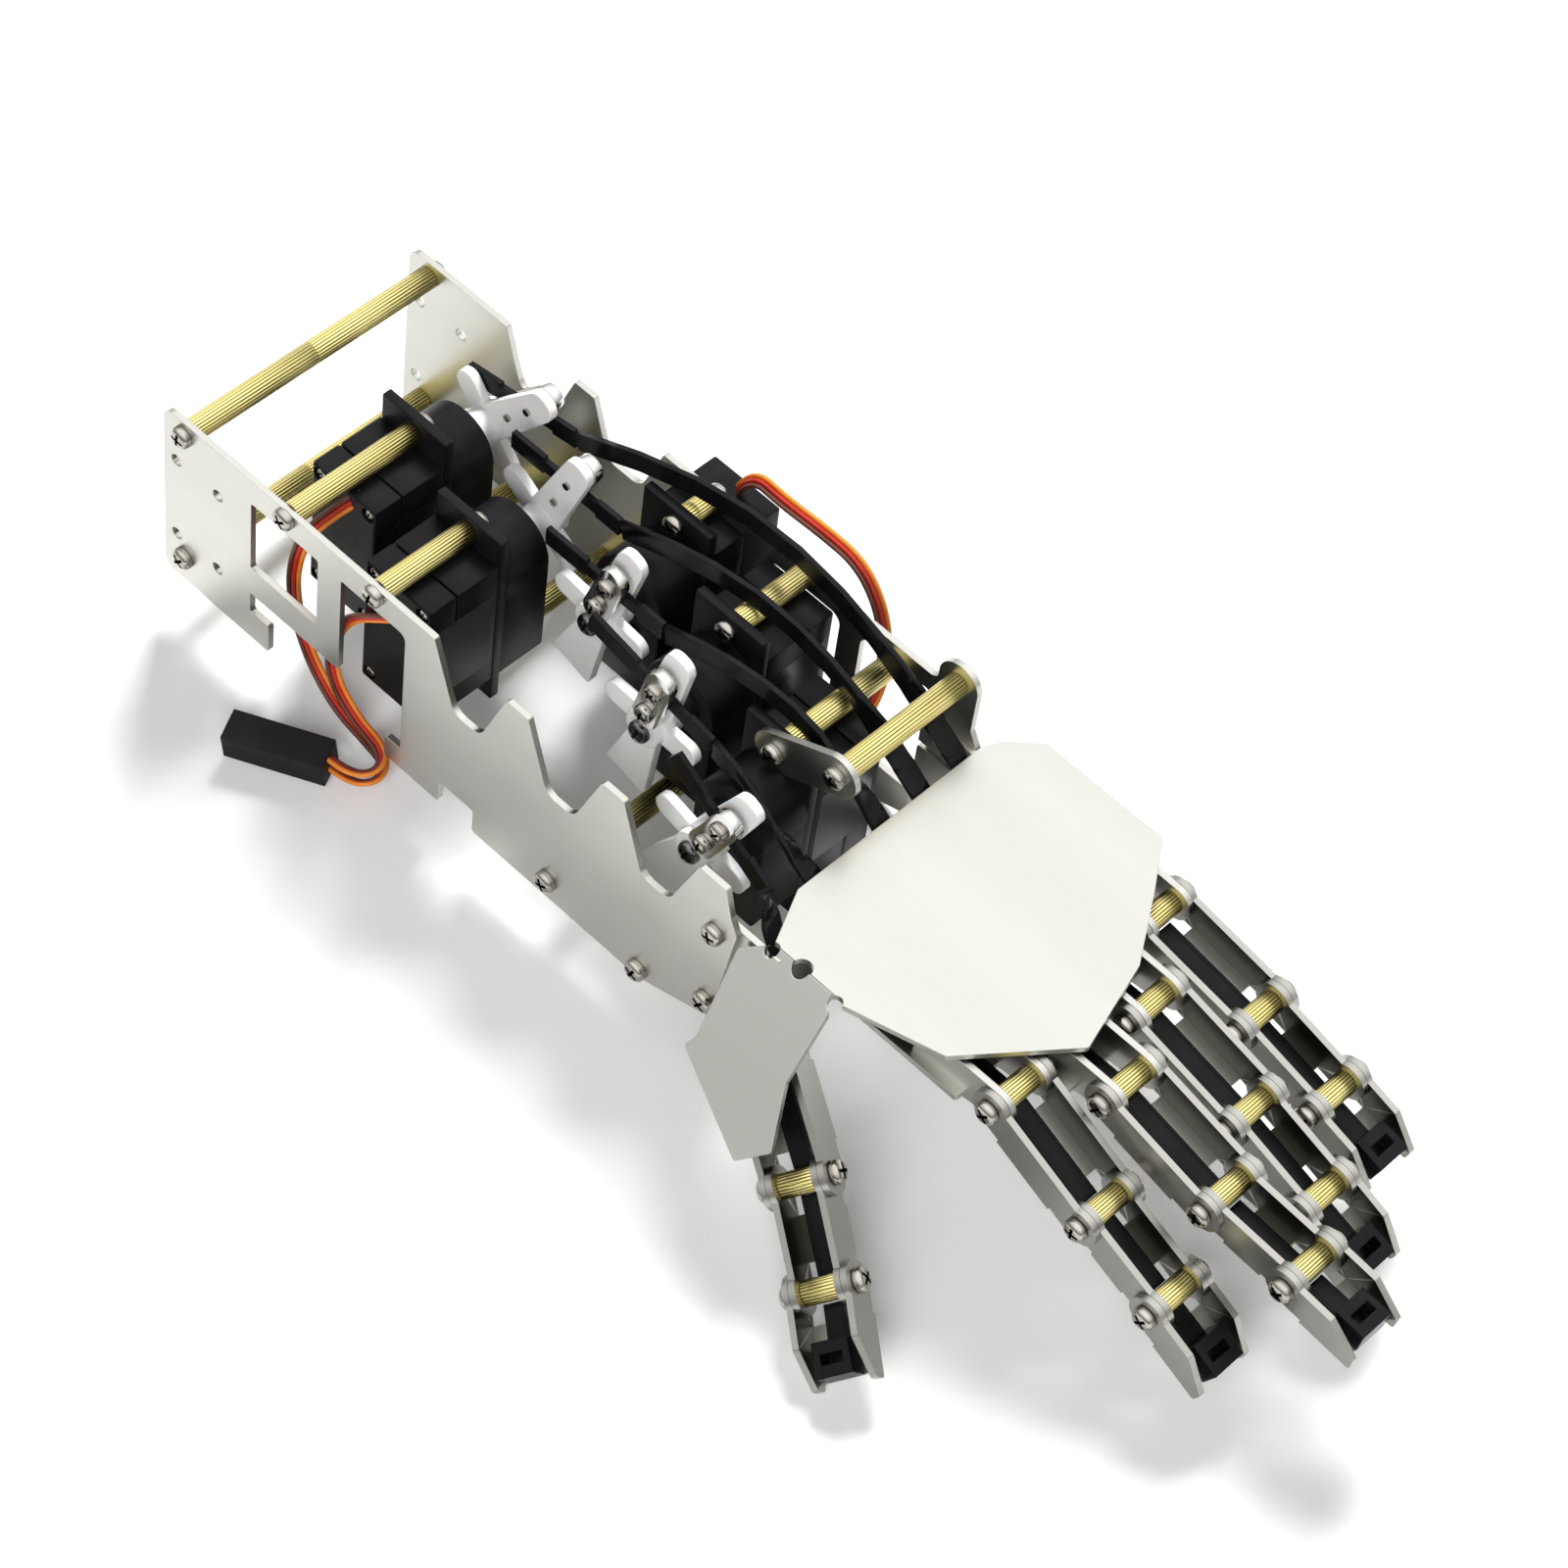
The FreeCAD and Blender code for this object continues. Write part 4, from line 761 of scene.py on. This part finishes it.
def wireRibbon(line, across):
    # The wires' side-by-side direction is carried along the line without twist
    work = bmesh.new()
    strands = [[], [], []]
    last = None
    for count, spot in enumerate(line):
        ahead = (line[min(count + 1, len(line) - 1)] - line[max(count - 1, 0)]).normalized()
        if last is not None:
            across = last.rotation_difference(ahead) @ across
        across = (across - ahead * across.dot(ahead)).normalized()
        upward = ahead.cross(across)
        for number, rings in enumerate(strands):
            middle = spot + across * (number - 1) * wire["pitch"]
            ring = []
            for step in range(wire["sides"]):
                angle = 2 * math.pi * step / wire["sides"]
                outward = across * math.cos(angle) + upward * math.sin(angle)
                ring.append(work.verts.new(middle + outward * wire["radius"]))
            rings.append(ring)
        last = ahead
    for number, rings in enumerate(strands):
        skin(work, rings, number)
    return bake(work, "wireRibbon")


leads = {"rear_lead": (rearRoute, (0.71, 0.70, 0.1), 0.0992, "lead_plugs"),
         "front_lead": (frontRoute, (0.35, 0.5, -0.8), 0.0851, "lead_plugs"),
         "right_lead": (rightRoute, (-0.35, 0.62, 0.70), 0.0815, "inner_plug")}
for node, (route, across, length, plug) in leads.items():
    line = routeLine(route)
    made = piece(node + "Wires", [(wireRibbon(line, Vector(across)), still)],
                 [brownWire, redWire, orangeWire], root, [node], wire["sharp"])
print("leads made")


# Nodes that keep their CAD shape
kept = {
    "left_side_plate": satinSheet, "right_side_plate": satinSheet, "palm_plate": satinSheet,
    "knuckle_frame": satinSheet, "guide_bracket": satinSheet,
    "lead_plugs": plugShell, "inner_plug": plugShell}
for name in fingers:
    kept[name + "_proximal_link"] = satinLink
    kept[name + "_middle_link"] = satinLink
    kept[name + "_tip_link"] = satinLink
    kept[name + "_tie_head"] = blackHead
    kept[name + "_horn"] = nylon
    kept[name + "_tie"] = blackStrip
for node, material in kept.items():
    mesh = frame["nodes"][node].data
    mesh.materials.clear()
    mesh.materials.append(material)


# Inside of a link, where shade is painted: what counts as square to or level with the pin, the web's reach,
# the smallest face
inside = {"square": 0.9, "level": 0.1, "webHalf": 2 * mm, "webDrop": 2 * mm, "smallest": 4 * mm * mm}


def paintShadeInside(node, origin, axis):
    # Painted shade: the channel's inner walls and web, which face each other and the strip, get the darker
    # copy of the link metal
    mesh = frame["nodes"][node].data
    mesh.materials.append(paintedShadeLink)
    for face in mesh.polygons:
        reach = face.center - origin
        outward = reach.dot(axis)
        facing = face.normal.dot(axis)
        wall = abs(facing) > inside["square"] and outward * facing < 0
        flat = abs(facing) < inside["level"] and reach.dot(face.normal) < -inside["webDrop"]
        web = flat and abs(outward) < inside["webHalf"]
        if (wall or web) and face.area > inside["smallest"]:
            face.material_index = 1


for name in fingers:
    for link, pin in zip(("_proximal_link", "_middle_link", "_tip_link"), pins):
        paintShadeInside(name + link, Vector(joints[name + pin]["pos_m"]), fingerAxis(name))
print("CAD nodes dressed")


# Front runs of the ties: the solids' own shape, welded and shaded as one bend
frontRuns = bake(weldedCopy("tie_front_runs"), "frontRuns")
piece("smoothFrontRuns", [(frontRuns, still)], [blackStrip], root, ["tie_front_runs"], 40)
print("front runs made")


# Floor: the hand leans on its right plate's lower edge and on the thumb's tip
ground = {"reach": 4.0, "cells": 8, "middle": 0.15, "gap": 0.05 * mm, "rough": 0.9, "specular": 0.1,
          "low": (0.90, 0.90, 0.90), "high": (0.93, 0.93, 0.93), "cloud": 3.0, "cloudDetail": 2.0,
          "glow": 0.11}


def leaningFloor():
    low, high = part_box("right_side_plate")
    edge = (high[1], low[2])
    slope = 0.0
    for node in ("thumb_tip_link", "thumb_pivots", "thumb_middle_link"):
        for corners in solids(node):
            reach = (edge[1] - corners[:, 2]) / (edge[0] - corners[:, 1])
            slope = max(slope, reach.max())
    return edge, math.atan(slope)


def floorMaterial():
    # Nearly white, with a faint glow of its own that only the camera and rays through glass see
    material = bpy.data.materials.new("paleFloor")
    material.use_nodes = True
    nodes = material.node_tree.nodes
    links = material.node_tree.links
    shader = nodes["Principled BSDF"]
    shader.inputs["Roughness"].default_value = ground["rough"]
    shader.inputs["Specular IOR Level"].default_value = ground["specular"]
    place = nodes.new("ShaderNodeTexCoord")
    cloud = addNoise(nodes, links, place.outputs["Object"], ground["cloud"], ground["cloudDetail"])
    color = addShades(nodes, links, cloud, ground["low"], ground["high"])
    links.new(color, shader.inputs["Base Color"])
    path = nodes.new("ShaderNodeLightPath")
    seen = nodes.new("ShaderNodeMath")
    seen.operation = "ADD"
    links.new(path.outputs["Is Camera Ray"], seen.inputs[0])
    links.new(path.outputs["Is Transmission Ray"], seen.inputs[1])
    power = nodes.new("ShaderNodeMath")
    power.operation = "MULTIPLY"
    power.inputs[1].default_value = ground["glow"]
    links.new(seen.outputs[0], power.inputs[0])
    glow = nodes.new("ShaderNodeEmission")
    links.new(power.outputs[0], glow.inputs["Strength"])
    total = nodes.new("ShaderNodeAddShader")
    links.new(shader.outputs[0], total.inputs[0])
    links.new(glow.outputs[0], total.inputs[1])
    links.new(total.outputs[0], nodes["Material Output"].inputs["Surface"])
    return material


def makeFloor():
    (edgeY, edgeZ), lean = leaningFloor()
    work = bmesh.new()
    cells = ground["cells"]
    bmesh.ops.create_grid(work, x_segments=cells, y_segments=cells, size=ground["reach"])
    mesh = bake(work, "floor")
    mesh.materials.append(floorMaterial())
    floor = bpy.data.objects.new("floor", mesh)
    bpy.context.collection.objects.link(floor)
    spot = Matrix.Translation((ground["middle"], edgeY, edgeZ - ground["gap"]))
    floor.matrix_world = spot @ Matrix.Rotation(lean, 4, "X")


makeFloor()
print("floor laid")


# World: white to the eye, soft grey as light, brighter overhead in the metal
studio = {"skyFrom": -0.05, "skyTo": 0.85, "skyLow": 0.08, "skyHigh": 1.85, "softGrey": 0.10, "white": 1.0}


def makeWorld():
    world = bpy.data.worlds.new("studio")
    bpy.context.scene.world = world
    world.use_nodes = True
    nodes = world.node_tree.nodes
    links = world.node_tree.links
    path = nodes.new("ShaderNodeLightPath")
    place = nodes.new("ShaderNodeTexCoord")
    split = nodes.new("ShaderNodeSeparateXYZ")
    links.new(place.outputs["Generated"], split.inputs[0])
    sky = nodes.new("ShaderNodeMapRange")
    sky.inputs["From Min"].default_value = studio["skyFrom"]
    sky.inputs["From Max"].default_value = studio["skyTo"]
    sky.inputs["To Min"].default_value = studio["skyLow"]
    sky.inputs["To Max"].default_value = studio["skyHigh"]
    links.new(split.outputs["Z"], sky.inputs["Value"])
    pick = nodes.new("ShaderNodeMix")      # the sky for gloss, a soft grey for all other light
    pick.data_type = "FLOAT"
    pick.inputs[2].default_value = studio["softGrey"]
    links.new(path.outputs["Is Glossy Ray"], pick.inputs[0])
    links.new(sky.outputs["Result"], pick.inputs[3])
    seen = nodes.new("ShaderNodeMix")      # white for the camera
    seen.data_type = "FLOAT"
    seen.inputs[3].default_value = studio["white"]
    links.new(path.outputs["Is Camera Ray"], seen.inputs[0])
    links.new(pick.outputs[0], seen.inputs[2])
    background = nodes["Background"]
    background.inputs["Color"].default_value = (1.0, 1.0, 1.0, 1.0)
    links.new(seen.outputs[0], background.inputs["Strength"])


def softBox(name, spot, target, size, power):
    light = bpy.data.lights.new(name, "AREA")
    light.shape = "RECTANGLE"
    light.size = size[0]
    light.size_y = size[1]
    light.energy = power
    made = bpy.data.objects.new(name, light)
    made.location = spot
    made.rotation_euler = (Vector(target) - Vector(spot)).to_track_quat("-Z", "Y").to_euler()
    made.visible_glossy = False
    bpy.context.collection.objects.link(made)


makeWorld()
lights = {
    "key": {"spot": (-0.28, 0.63, 1.07), "target": (0.2, 0.0, 0.04), "size": (0.45, 0.45), "power": 27.0},
    "fill": {"spot": (0.6, -0.9, 0.7), "target": (0.15, 0.0, 0.02), "size": (0.9, 0.9), "power": 11.0}}
for name, light in lights.items():
    softBox(name, light["spot"], light["target"], light["size"], light["power"])
print("lights set")


# Camera at the photograph's angle, for a 1600 by 1600 frame
view = {"spot": (0.5098, -0.4711, 0.8108), "right": (0.711, 0.697, 0.096),
        "forward": (-0.367, 0.484, -0.794), "lens": 107.5, "sensor": 36.0, "farthest": 20.0}
camera = bpy.data.cameras.new("camera")
camera.lens = view["lens"]
camera.sensor_width = view["sensor"]
camera.sensor_fit = "HORIZONTAL"
camera.clip_end = view["farthest"]
seat = bpy.data.objects.new("camera", camera)
bpy.context.collection.objects.link(seat)
back = -Vector(view["forward"]).normalized()
right = Vector(view["right"])
right = (right - back * right.dot(back)).normalized()
seat.matrix_world = placeWith(right, back.cross(right), back, view["spot"])
bpy.context.scene.camera = seat
bpy.context.scene.view_settings.view_transform = "Standard"
print("camera set")
